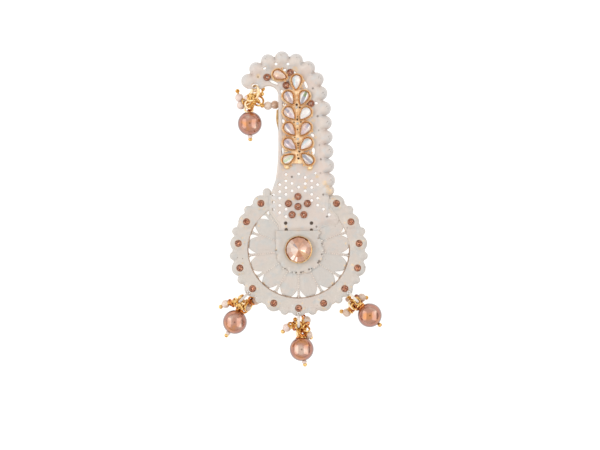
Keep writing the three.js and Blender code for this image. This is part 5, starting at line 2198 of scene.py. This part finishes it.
    def goldwork(self, work: Workbox) -> None:
        """Builds the granules and the two small fans at the foot.

        Args:
            work: The finishes and trees.
        """
        rows = [(x, y, SETTINGS_BACK + 0.78, 0.0, 1.0) for x, y in self.granules]
        ball = Draft.ball_unit("granule_unit", (0.56, 0.56, 0.5), 20, 12)
        present(work.trees.copies_on("pear_granules", ball, rows, work.enamel), "enamel")
        grains = []
        for x, y, _, _ in self.pears:
            for turn, reach in self.grains:
                spot = np.array([x, y]) + heading(turn + 9 * x) * reach
                if self._clear(spot) and self.plate_sides[0] < spot[0] < self.plate_sides[1]:
                    grains.append((*spot, SETTINGS_BACK + 0.12, 0.0, 0.72))
        grain = Draft.ball_unit("grain_unit", (0.5, 0.5, 0.42), 16, 10)
        present(work.trees.copies_on("pear_grains", grain, grains, work.gold), "gold")
        leaf = Draft.ball_unit("leaf_unit", (0.85, 0.36, 0.36), 16, 10, x=0.75)
        rays = []
        for x, y, middle in self.fans:
            rays.extend((x, y, SETTINGS_BACK + 0.1, middle + aside, 0.86) for aside in range(-60, 61, 30))
        present(work.trees.copies_on("pear_fans", leaf, rays, work.gold), "gold")

    def _clear(self, spot: Points) -> bool:
        """Whether a place lies clear of every collet.

        Args:
            spot: The place.

        Returns:
            True where it lies clear.
        """
        gaps = []
        for number in range(len(self.pears)):
            loop = self._placed(number, self.pear_loop(0.8), 0.0)[:, :2]
            gaps.append(0.0 if inside(spot[None], [loop])[0] else gap_to(spot[None], [loop])[0])
        return min(gaps) > self.grain_gap

    def stones(self, work: Workbox) -> None:
        """Builds the faceted pear stones.

        Args:
            work: The finishes and trees.
        """
        girdle, deep = SETTINGS_BACK + 1.14, SETTINGS_BACK + 0.55
        peak = height_of("pear_stone_2", top=True) - 0.06
        loop = self.pear_loop(0.0)
        upper = loop[loop[:, 1] >= -1e-9]
        upper = upper[np.argsort(upper[:, 0])]
        ends = np.array([loop[:, 0].min(), loop[:, 0].max()])
        along = ends[0] + (ends[1] - ends[0]) * (1 - np.cos(np.linspace(0, math.pi, self.facet_rows))) / 2
        half = np.interp(along, upper[:, 0], upper[:, 1])
        half[[0, -1]] = 0
        bow = np.sin(np.linspace(0, math.pi, self.facet_rows)) ** 0.5
        draft, order = Draft(), list(Tint)
        for number, tints in enumerate(self.tints):
            for i in range(len(self.columns) - 1):
                strip = self.columns[i : i + 2]
                flat = np.array([(x, t * h) for x, h in zip(along, half) for t in strip])
                arch = np.array([(1 - t * t) * rise for rise in bow for t in strip])
                quads = [[2 * k, 2 * k + 1, 2 * k + 3, 2 * k + 2] for k in range(len(along) - 1)]
                flat = turned(flat, *self.pears[number])
                front = raised(flat, girdle + (peak - girdle) * arch)
                back = raised(flat, girdle - (girdle - deep) * arch**0.8)
                draft.add(front, quads, 0 if number else 1)
                spot = self.spots[number] if i == 2 else None
                shaded = quads[1:5] if spot else []
                draft.add(back, [quad for quad in quads if quad not in shaded], 2 + order.index(tints[i]))
                if spot:
                    draft.add(back, shaded, 2 + order.index(spot))
        foils = [work.foils[tint] for tint in Tint]
        piece = draft.piece("pear_stones", [work.clear_glass, work.peach_glass, *foils], sharp=11.0)
        present(piece, "clear_stone", *[f"pear_stone_{i + 1}" for i in range(len(self.pears))])

    def build(self, work: Workbox) -> None:
        """Builds every part of it.

        Args:
            work: The finishes and trees.
        """
        self.collets(work)
        self.goldwork(work)
        self.stones(work)


# ---- Drops


def level(degrees: float) -> Points:
    """The direction in space of a heading."""
    return np.append(heading(degrees), 0.0)


class Wire(Enum):
    """The wires that a cluster's loops are bent from."""

    GOLD = "gold"
    AMBER = "amber"
    PALE = "pale"


class Threaded(Enum):
    """What a seed cluster's pins carry, each with its radius and the number of its finish."""

    PEARL = (1.72, 0)
    SMALL = (1.12, 0)
    BALL = (0.88, 1)
    GARNET = (0.95, 2)


@dataclass
class Drop:
    """One bead drop: its jump ring, its bead on a headpin, and its cluster of seed pearls.

    Attributes:
        name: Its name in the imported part.
        out: The heading of its ring from the casting.
        lean: How far its ring leans over, in degrees.
        bead: The bead's middle and the heading of its bore.
        spacer: Whether a small bead sits under the large one.
        pins: For each pin of the cluster, what is on it: the kind, its place and its tint.
        coils: Its loose loops: each one's middle and radius, the heading and tilt of its axis, and its wire.
        ring_r: The ring's radius, and wire the radius of its wire.
        bead_r: The large bead's radius, and bore the radius of its bore.
        pin_wire: The radius of the headpin's wire, and pin_loop that of its loop.
        seed_wire: The radius of the cluster's wires.
        pitch: How far a coil of wire climbs in a turn.
        cap: The section of the cap on the bead: its radius and how far along the bore it lies.
    """

    name: str
    out: float
    lean: float
    bead: Spot
    spacer: bool
    pins: tuple[tuple[tuple[Threaded, float, float, float, float], ...], ...]
    coils: tuple[tuple[float, float, float, float, float, float, Wire], ...]
    ring_r: float = 2.55
    wire: float = 0.5
    bead_r: float = 4.86
    bore: float = 0.5
    pin_wire: float = 0.36
    pin_loop: float = 1.02
    seed_wire: float = 0.4
    pitch: float = 0.48
    cap: tuple[Place, ...] = (
        (0.4, -1.25), (0.62, -1.1), (0.95, -0.75), (1.35, -0.2), (1.55, 0.1), (1.5, 0.2), (1.2, -0.1),
        (0.4, -0.4),
    )

    def _frame(self) -> tuple[Points, Points, Points]:
        """The ring's middle, its outward direction and its normal.

        Returns:
            The middle in millimetres, and two unit vectors.
        """
        low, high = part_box(f"jump_ring_{self.name}")
        centre = np.array((low + high) / 2 - MIDDLE) / MM
        out, side, lean = level(self.out), level(self.out + 90), math.radians(self.lean)
        normal = side * math.cos(lean) + np.cross(out, side) * math.sin(lean)
        return centre, out, normal

    def _on_ring(self, degrees: float) -> tuple[Points, Points]:
        """A point of the ring's wire and the direction away from the ring's middle.

        Args:
            degrees: How far round the ring the point is.

        Returns:
            The point and a unit vector.
        """
        centre, out, normal = self._frame()
        turn = -math.radians(degrees)
        away = out * math.cos(turn) + np.cross(normal, out) * math.sin(turn)
        return centre + away * self.ring_r, away

    def _loop(self, at: Points, normal: Points, r: float, count: int = 28, turns: float = 1.0) -> Points:
        """A loop of wire round a point, or a coil where it has more turns.

        Args:
            at: Its middle.
            normal: The direction through it.
            r: Its radius.
            count: How many points a turn has.
            turns: How many turns it has.

        Returns:
            The wire's line.
        """
        normal = normal / np.linalg.norm(normal)
        side = np.cross(normal, [0.0, 0.0, 1.0])
        side = side / np.linalg.norm(side) if np.linalg.norm(side) > 0.1 else np.array([1.0, 0.0, 0.0])
        up = np.cross(normal, side)
        total = int(count * turns)
        angle = np.linspace(0, 2 * math.pi * turns, total, endpoint=turns != 1.0)
        rise = np.zeros(total) if turns == 1.0 else np.linspace(-0.5, 0.5, total) * turns
        circle = np.cos(angle)[:, None] * side + np.sin(angle)[:, None] * up
        return at + r * circle + rise[:, None] * normal * self.pitch

    def ring(self, work: Workbox) -> None:
        """Builds the jump ring.

        Args:
            work: The finishes and trees.
        """
        centre, _, normal = self._frame()
        line = self._loop(centre, normal, self.ring_r, 56)
        finish = work.pale_wire if self.name == "curl" else work.ring_enamel
        made = work.trees.wires_on(f"jump_ring_{self.name}", [line], self.wire, finish, closed=True)
        made.name = f"ring_{self.name}"
        present(made, "enamel", f"jump_ring_{self.name}")

    def _bore(self, count: int) -> tuple[Points, Points, Points]:
        """The large bead's middle, the direction of its bore and a circle of points round that.

        Args:
            count: How many points the circle has.

        Returns:
            The middle, a unit vector and the circle's points.
        """
        x, y, turn = self.bead
        turns = full_turn(count)[:, None]
        circle = np.cos(turns) * level(turn + 90) + np.sin(turns) * np.array([0.0, 0.0, 1.0])
        return np.array([x, y, self.bead_r]), level(turn), circle

    def large_bead(self, work: Workbox) -> None:
        """Builds the large bead, with the dimple at each end of its bore.

        Args:
            work: The finishes and trees.
        """
        centre, axis, circle = self._bore(72)
        start = math.asin(self.bore * 1.5 / self.bead_r)
        rings = [centre + circle * self.bore - axis * self.bead_r * 0.9]
        for row in np.linspace(-math.pi / 2 + start, math.pi / 2 - start, 40):
            rings.append(centre + circle * self.bead_r * math.cos(row) + axis * self.bead_r * math.sin(row))
        rings.append(centre + circle * self.bore + axis * self.bead_r * 0.9)
        draft = Draft()
        draft.loft(rings, capped=False)
        made = draft.piece(f"large_bead_{self.name}", [work.rose_bead], sharp=60)
        present(made, "rose_bead", f"bead_{self.name}")

    def pin(self, work: Workbox) -> None:
        """Builds the bead's headpin: its loop on the ring, its wrapped neck, its cap and its ball.

        Args:
            work: The finishes and trees.
        """
        centre, axis, circle = self._bore(40)
        at, away = self._on_ring(0)
        _, _, normal = self._frame()
        loop = self._loop(at, np.cross(normal, away), self.pin_loop)
        neck_end, start = centre - axis * (self.bead_r + 0.95), at + away * self.pin_loop
        run, end = neck_end - start, self.bead_r + (1.5 if self.spacer else 0.7)
        neck = start + run * np.linspace(0, 1, 12)[:, None]
        stem = centre + axis * np.linspace(-self.bead_r - 1.0, end, 30)[:, None]
        coil = self._loop((start + neck_end) / 2, run, 0.5, 22, max(2.0, np.linalg.norm(run) / 0.5))
        wires = [loop[:-1], neck, stem, coil]
        made = work.trees.wires_on(f"headpin_wire_{self.name}", wires, self.pin_wire, work.wire_gold)
        present(made, "gold", f"headpin_{self.name}")
        petal = 0.1 * np.abs(np.cos(full_turn(len(circle)) * 4))[:, None]
        draft = Draft()
        draft.loft([
            centre + circle * (r + petal * (r > 1.2)) - axis * (self.bead_r - along * 0.62 - 0.02)
            for r, along in self.cap
        ])
        draft.ball(centre + axis * end, 0.88, 24, 14, 1)
        present(draft.piece(f"headpin_cap_{self.name}", [work.amber_wire, work.wire_gold], sharp=50), "gold")
        if self.spacer:
            small = Draft()
            small.ball(centre + axis * (self.bead_r + 0.35), 0.98, 24, 14, tone=0.3)
            present(small.piece(f"spacer_{self.name}", [work.pearl], sharp=60), "pearl")

    def cluster(self, work: Workbox) -> None:
        """Builds the seed pearls with their wires, loops and end balls.

        Args:
            work: The finishes and trees.
        """
        beads = Draft()
        lines: dict[Wire, list[Points]] = {wire: [] for wire in Wire}
        for number, pin in enumerate(self.pins):
            at, away = self._on_ring(-36 - 8 * number)
            _, _, normal = self._frame()
            runs = np.cross(normal, away)
            runs /= np.linalg.norm(runs)
            lines[Wire.GOLD].append(self._ringed(at, runs, 1.1))
            first = np.array(pin[0][1:4])
            towards = first - at
            towards = towards - runs * float(np.dot(towards, runs))
            towards /= np.linalg.norm(towards)
            spots = [at + towards * 0.98, *[np.array(bead[1:4]) for bead in pin]]
            lines[Wire.GOLD].append(smooth_line(np.array(spots), 24))
            neck = spots[0] + (spots[1] - spots[0]) * 0.4
            reach = np.linalg.norm(spots[1] - spots[0])
            if reach > 2.2:
                wraps = min(4.0, reach / 0.8)
                lines[Wire.GOLD].append(self._loop(neck, spots[1] - spots[0], 0.45, 18, wraps))
            if pin[0][0] is not Threaded.BALL:
                beads.ball(first - towards * pin[0][0].value[0] * 0.72, 0.95, 20, 12, 1)
            for kind, x, y, z, tint in pin:
                r, finish = kind.value
                beads.ball((x, y, z), (r, r, r * 0.98), 28, 16, finish, tone=tint)
        for x, y, z, r, turn, tilt, wire in self.coils:
            across = heading(turn) * math.cos(math.radians(tilt))
            normal = np.append(across, math.sin(math.radians(tilt)))
            lines[wire].append(self._ringed(np.array([x, y, z]), normal, r))
        made = beads.piece(f"seed_beads_{self.name}", [work.pearl, work.wire_gold, work.dark_bead], sharp=60)
        present(made, "pearl", f"seeds_{self.name}")
        finishes = {Wire.GOLD: work.wire_gold, Wire.AMBER: work.amber_wire, Wire.PALE: work.pale_wire}
        for wire, runs in ((wire, runs) for wire, runs in lines.items() if runs):
            runs = [np.column_stack([run[:, :2], np.maximum(run[:, 2], 0.45)]) for run in runs]
            name = f"{wire.value}_wires_{self.name}"
            present(work.trees.wires_on(name, runs, self.seed_wire, finishes[wire]), "gold")

    def _ringed(self, at: Points, normal: Points, r: float) -> Points:
        """A loop of wire whose last point meets its first."""
        line = self._loop(at, normal, r)
        return np.vstack([line, line[:1]])

    def build(self, work: Workbox) -> None:
        """Builds every part of it.

        Args:
            work: The finishes and trees.
        """
        self.ring(work)
        self.large_bead(work)
        self.pin(work)
        self.cluster(work)


def hung_drops() -> list[Drop]:
    """The four drops, three under the medallion and one from the curl's tip.

    Returns:
        The drops.
    """
    pearl, small, ball, garnet = Threaded.PEARL, Threaded.SMALL, Threaded.BALL, Threaded.GARNET
    gold, amber, pale = Wire.GOLD, Wire.AMBER, Wire.PALE
    return [
        Drop(
            "bottom", -90, 0, (1.2, -40.1, -78), True,
            (
                ((pearl, -4.8, -31.6, 3.0, 0.3), (ball, -6.4, -33.2, 2.4, 0)),
                ((ball, -1.4, -28.2, 4.6, 0),),
                ((pearl, 3.2, -28.6, 3.2, 0.6),),
                ((pearl, 3.9, -34.5, 2.8, 0.65), (ball, 4.9, -35.6, 2.2, 0)),
            ),
            (
                (3.1, -32.0, 4.2, 1.35, 60, 45, gold), (2.4, -31.2, 4.6, 1.2, -30, 35, gold),
                (0.6, -32.2, 4.6, 1.3, 20, 30, amber), (0.2, -33.4, 4.4, 1.35, 0, 25, amber),
                (1.2, -33.6, 4.8, 1.3, 40, 40, amber), (-0.3, -33.8, 5.2, 1.5, 10, 15, pale),
                (-3.1, -30.5, 3.8, 1.1, 50, 45, gold), (-2.1, -30.4, 4.4, 1.1, 0, 30, gold),
                (1.8, -35.2, 4.6, 1.35, -70, 30, amber), (3.3, -30.2, 4.0, 1.1, -45, 30, amber),
                (2.0, -27.2, 3.6, 0.9, 30, 30, amber), (2.9, -34.9, 3.8, 1.1, 20, 30, gold),
                (-1.2, -31.4, 4.6, 1.2, -40, 30, amber), (0.9, -34.8, 4.9, 1.1, 80, 30, gold),
            ),
        ),
        Drop(
            "left", 225, 0, (-25.7, -29.2, 238), True,
            (
                ((pearl, -29.5, -22.0, 2.9, 0.4), (ball, -31.5, -23.2, 2.4, 0)),
                ((pearl, -21.1, -23.5, 2.6, 0.7),),
                ((pearl, -17.4, -20.8, 3.0, 0.8),),
            ),
            (
                (-27.5, -21.4, 3.6, 1.15, 20, 25, amber), (-26.7, -21.9, 3.8, 1.2, 25, 20, amber),
                (-25.9, -20.9, 4.4, 1.3, 150, 30, gold), (-25.0, -21.7, 4.6, 1.3, 10, 35, gold),
                (-24.2, -22.4, 4.8, 1.5, -15, 25, gold), (-23.6, -23.9, 4.8, 1.5, -35, 20, gold),
                (-21.5, -23.3, 3.8, 2.35, -20, 40, gold), (-20.3, -22.9, 3.9, 2.2, -28, 30, gold),
                (-19.4, -20.6, 4.2, 1.35, 0, 35, amber), (-18.8, -21.2, 3.8, 1.2, 40, 20, amber),
                (-22.6, -21.0, 5.6, 1.2, 60, 30, pale), (-24.6, -24.6, 4.4, 1.0, -50, 30, amber),
                (-23.3, -18.9, 4.2, 0.9, 120, 10, gold),
            ),
        ),
        Drop(
            "right", -45, 0, (28.6, -26.5, -44), False,
            (
                ((garnet, 23.3, -19.0, 3.8, 0), (pearl, 25.4, -19.5, 3.4, 0.7), (ball, 27.3, -19.5, 3.0, 0)),
                ((pearl, 19.4, -25.6, 2.8, 0.7), (ball, 17.3, -25.1, 2.4, 0)),
                ((small, 19.9, -20.2, 2.0, 0.0),),
            ),
            (
                (21.0, -22.0, 4.4, 1.3, 20, 35, pale), (21.6, -22.9, 4.6, 1.35, 40, 30, pale),
                (22.4, -22.4, 5.0, 1.3, -50, 40, gold), (22.9, -23.4, 4.6, 1.3, 60, 30, gold),
                (23.9, -22.2, 4.8, 1.35, -30, 35, amber), (24.8, -22.8, 5.0, 1.4, -50, 30, gold),
                (25.6, -23.4, 5.4, 1.3, -40, 25, amber), (24.9, -21.6, 4.6, 1.1, 20, 30, amber),
                (20.9, -24.6, 3.6, 1.1, 40, 20, gold), (21.4, -23.9, 3.8, 1.1, 50, 35, amber),
                (23.6, -20.6, 4.6, 1.0, 90, 30, gold),
            ),
        ),
        Drop(
            "curl", -90, -35, (-19.7, 50.7, -88), True,
            (
                (
                    (pearl, -23.3, 58.1, 3.6, 0.35), (pearl, -24.0, 61.2, 3.4, 0.3),
                    (ball, -24.7, 63.9, 3.2, 0),
                ),
                ((small, -20.8, 61.0, 5.4, 0.3),),
                ((ball, -14.6, 57.9, 5.0, 0), (pearl, -12.4, 57.9, 4.4, 0.5), (pearl, -9.6, 58.3, 4.0, 0.9)),
                ((ball, -14.8, 62.5, 5.6, 0), (ball, -14.4, 64.6, 5.2, 0)),
            ),
            (
                (-17.6, 62.6, 5.4, 1.8, -45, 70, pale), (-18.6, 61.6, 6.2, 2.4, 131, 42, pale),
                (-20.3, 59.6, 5.2, 1.7, 125, 40, pale), (-20.0, 58.2, 6.0, 1.6, 10, 62, pale),
                (-20.1, 56.4, 5.6, 1.6, 70, 60, pale), (-19.2, 57.4, 4.6, 1.4, -30, 30, gold),
                (-16.2, 59.8, 4.6, 2.0, 60, 72, gold), (-21.9, 59.4, 4.4, 1.2, 20, 30, gold),
            ),
        ),
    ]


# ---- Pin back


@dataclass
class PinBack:
    """The bar soldered behind the plume, with its hinge, its pin and its catch.

    Attributes:
        x: The bar's middle line.
        ends: Where the bar starts and ends.
        thick: The bar's thickness, and cheek that of the walls of the hinge and the catch.
        hinge: The hinge's middle.
        catch: The catch's middle.
        pin_r: The pin's radius, and pin_rise the height of its middle.
    """

    x: float = -7.3
    ends: Place = (29.0, 56.6)
    thick: float = 0.9
    cheek: float = 0.8
    hinge: float = 54.6
    catch: float = 30.6
    pin_r: float = 0.55
    pin_rise: float = 0.75

    def _plate(self, draft: Draft, loop: Points, low: float, high: float, edge: float = 0.18) -> None:
        """Adds a plate with rounded edges between two heights.

        Args:
            draft: The draft that it joins.
            loop: Its edge.
            low: The height of its underside.
            high: The height of its top.
            edge: The radius of its rounded edges.
        """
        middle, size = loop.mean(axis=0), np.ptp(loop, axis=0).min() / 2
        levels = ((edge, low), (0.0, low + edge), (0.0, high - edge), (edge, high))
        draft.loft([raised(middle + (loop - middle) * (1 - inset / size), z) for inset, z in levels])

    @staticmethod
    def _oblong(x: float, y: float, width: float, length: float) -> Points:
        """The corners of an oblong about a place."""
        return np.array([x, y]) + np.array([(-1, -1), (1, -1), (1, 1), (-1, 1)]) * [width / 2, length / 2]

    def build(self, work: Workbox) -> None:
        """Builds the bar, the hinge, the catch and the pin.

        Args:
            work: The finishes and trees.
        """
        top = height_of("pin_back", top=True)
        bottom = top - self.thick
        low, high = self.ends
        left, right = self.x - 1.3, self.x + 1.5
        bar = [
            (right, low + 0.8), (right, 34.4), (right - 1.1, 36.4), (right - 1.1, 52.6), (right - 0.6, 53.8),
            (right - 0.6, high - 0.8), (right - 1.0, high), (left + 0.5, high), (left - 0.2, 55.4),
            (left - 0.5, 54.0), (left - 0.5, 52.4), (left - 0.2, 50.2), (left + 0.55, 48.4),
            (left + 0.55, low + 0.8), (left + 0.9, low), (right - 0.8, low),
        ]
        draft = Draft()
        self._plate(draft, wound(softened(np.array(bar), 2), True), bottom, top)
        for y, width, length in ((self.hinge, 3.3, 3.0), (self.catch, 2.9, 2.3)):
            foot = self._oblong(self.x, y, width, length)
            self._plate(draft, softened(stepped(foot, 1.0), 1), bottom - 0.4, bottom + 0.2)
            for side in (-1, 1):
                wall = self._oblong(self.x + side * (width / 2 - 0.45), y, self.cheek, length)
                self._plate(draft, stepped(wall, 1.0), 0.02, bottom)
        present(draft.piece("pin_bar", [work.back_gold], sharp=45), "gold", "pin_back")
        y = np.linspace(self.catch - 0.9, self.hinge, 60)
        girth = np.minimum(1.0, 0.12 + (y - y[0]) / 6.0)
        line = np.array([(self.x - 0.2, along, self.pin_rise) for along in y])
        barrel = np.array([[self.x - 1.6, self.hinge, 1.0], [self.x + 1.6, self.hinge, 1.0]])
        wound_at = np.linspace(0, 6 * math.pi, 70)
        across = self.x + np.linspace(-0.8, 0.8, len(wound_at))
        coil = np.column_stack([across, self.hinge + 0.6 * np.cos(wound_at), 1.3 + 0.6 * np.sin(wound_at)])
        girths = [girth, np.ones(len(barrel)), np.full(len(coil), 0.45)]
        pin = work.trees.wires_on("pin", [line, barrel, coil], self.pin_r, work.wire_gold, girths=girths)
        present(pin, "gold")
        middle, curl = (self.x, self.catch, self.pin_rise + 0.55), np.linspace(-0.3, math.pi * 1.25, 26)
        arc = np.array([(1.05 * math.cos(turn), 0, 0.95 * math.sin(turn)) for turn in curl])
        hook = np.array(middle) + arc
        rolls = [hook + np.array([0, shift, 0]) for shift in (-0.7, -0.35, 0.0, 0.35, 0.7)]
        present(work.trees.wires_on("pin_catch_roll", rolls, 0.26, work.back_gold), "gold")


# ---- Studio


@dataclass
class Studio:
    """The pale ground, the soft lights and the camera straight above.

    Attributes:
        look_at: The place under the camera.
        rise: How far the camera is above the plume's plate.
        lens: Its focal length, and sensor the width of its sensor.
        clip: How near and how far it sees, in metres.
        left_window, right_window: Where each window stands, from side to side of the sky.
        flag: The part of the sky that is kept dark, across, up and above.
        levels: How bright the rest of the sky is on its way up.
        hatch: Where the sky straight above starts to be dark.
        lamps: Each soft box's name, its place, its width and height, and its power in watts.
        aim: The place that the soft boxes face.
    """

    look_at: Place = (0.52, 9.84)
    rise: float = 666.7
    lens: float = 100.0
    sensor: float = 36.0
    clip: Place = (0.01, 20.0)
    ground: float = 3000.0
    left_window: Place = (-0.95, -0.55)
    right_window: Place = (0.34, 0.86)
    window_height: Place = (-0.66, 0.6)
    window_rise: Place = (0.12, 1.2)
    window_light: float = 1.7
    window_tint: Colour = (1.0, 1.0, 0.97)
    flag: tuple[Place, Place, Place] = ((0.86, 1.5), (-0.5, 0.3), (0.0, 0.3))
    flag_colour: Colour = (0.24, 0.2, 0.19)
    levels: tuple[Place, ...] = ((0.0, 0.4), (0.45, 0.66), (0.7, 0.8))
    overhead: float = 0.9
    hatch: float = 0.9955
    hatch_light: float = 0.05
    sky_tint: Colour = (1.0, 0.985, 0.96)
    strength: float = 0.98
    lamps: tuple[tuple[str, Spot, Place, float], ...] = (
        ("key_lamp", (-420, 60, 420), (90, 240), 0.8), ("far_lamp", (260, 420, 420), (160, 90), 0.5),
    )
    aim: Spot = (0.0, 10.0, 8.0)

    def camera(self) -> None:
        """Sets the camera above the brooch, with the plume's top at the top of the view."""
        data = bpy.data.cameras.new("camera")
        data.lens = self.lens
        data.sensor_width = self.sensor
        camera = bpy.data.objects.new("camera", data)
        camera.location = MIDDLE + Vector((*self.look_at, PLATE_TOP + self.rise)) * MM
        data.clip_start, data.clip_end = self.clip
        bpy.context.collection.objects.link(camera)
        bpy.context.scene.camera = camera

    def floor(self) -> None:
        """Lays the pale ground."""
        half = self.ground * MM / 2
        mesh = bpy.data.meshes.new("ground")
        corners = [(-half, -half, 0), (half, -half, 0), (half, half, 0), (-half, half, 0)]
        mesh.from_pydata(corners, [], [[0, 1, 2, 3]])
        mesh.materials.append(Paper().material())
        shown("ground", mesh)

    def sky(self) -> None:
        """Lights the scene all round, with a tall soft window on each side."""
        world = bpy.data.worlds.new("studio")
        bpy.context.scene.world = world
        world.use_nodes = True
        nodes = Nodes(world.node_tree)

        def band(value: Socket, low: float, high: float, soft: float = 0.07) -> Socket:
            """One between two bounds and zero past them, with soft edges."""
            rise = nodes.step(value, low - soft, low + soft)
            return nodes.maths("MULTIPLY", rise, nodes.step(value, high + soft, high - soft))

        place = nodes.node("ShaderNodeTexCoord").outputs["Generated"]
        x, y, z = nodes.node("ShaderNodeSeparateXYZ", {0: place}).outputs
        windows = nodes.maths("ADD", band(x, *self.left_window), band(x, *self.right_window))
        windows = nodes.maths("MULTIPLY", windows, band(y, *self.window_height))
        windows = nodes.maths("MULTIPLY", windows, band(z, *self.window_rise))
        levels = (*self.levels, (self.hatch, self.overhead), (self.hatch + 0.001, self.hatch_light))
        stops = [(at, tuple(light * tint for tint in self.sky_tint)) for at, light in levels]
        shade = nodes.ramp(nodes.maths("ADD", nodes.maths("MULTIPLY", z, 0.5), 0.5), stops)
        lit = nodes.mix(windows, shade, tuple(self.window_light * tint for tint in self.window_tint))
        flag = nodes.maths("MULTIPLY", band(y, *self.flag[1]), band(z, *self.flag[2]))
        flag = nodes.maths("MULTIPLY", band(x, *self.flag[0]), flag)
        background = nodes.tree.nodes["Background"].inputs
        nodes.feed(background["Color"], nodes.mix(flag, lit, self.flag_colour))
        nodes.feed(background["Strength"], self.strength)

    def lamp(self, name: str, place: Spot, size: Place, watts: float) -> None:
        """Hangs a soft box that faces the brooch.

        Args:
            name: Its name.
            place: Where it hangs, in millimetres.
            size: Its width and height in millimetres.
            watts: Its power.
        """
        data = bpy.data.lights.new(name, "AREA")
        data.shape = "RECTANGLE"
        data.size, data.size_y = size[0] * MM, size[1] * MM
        data.energy = watts
        lamp = bpy.data.objects.new(name, data)
        lamp.location = MIDDLE + Vector(place) * MM
        aim = MIDDLE + Vector([part * MM for part in self.aim]) - lamp.location
        lamp.rotation_euler = aim.to_track_quat("-Z", "Y").to_euler()
        lamp.visible_glossy = False
        bpy.context.collection.objects.link(lamp)

    def build(self) -> None:
        """Sets up the whole studio."""
        scene = bpy.context.scene
        scene.view_settings.view_transform = "Standard"
        scene.view_settings.look = "None"
        self.floor()
        self.sky()
        for lamp in self.lamps:
            self.lamp(*lamp)
        self.camera()


def main() -> None:
    """Builds the brooch and its studio."""
    logging.basicConfig(level=logging.INFO, format="%(name)s: %(message)s")
    work = Workbox()
    for part in (Medallion(), Plume(), PearRow(), PinBack(), *hung_drops()):
        LOG.info("building %s", type(part).__name__)
        part.build(work)
    Studio().build()


if __name__ == "__main__":
    main()
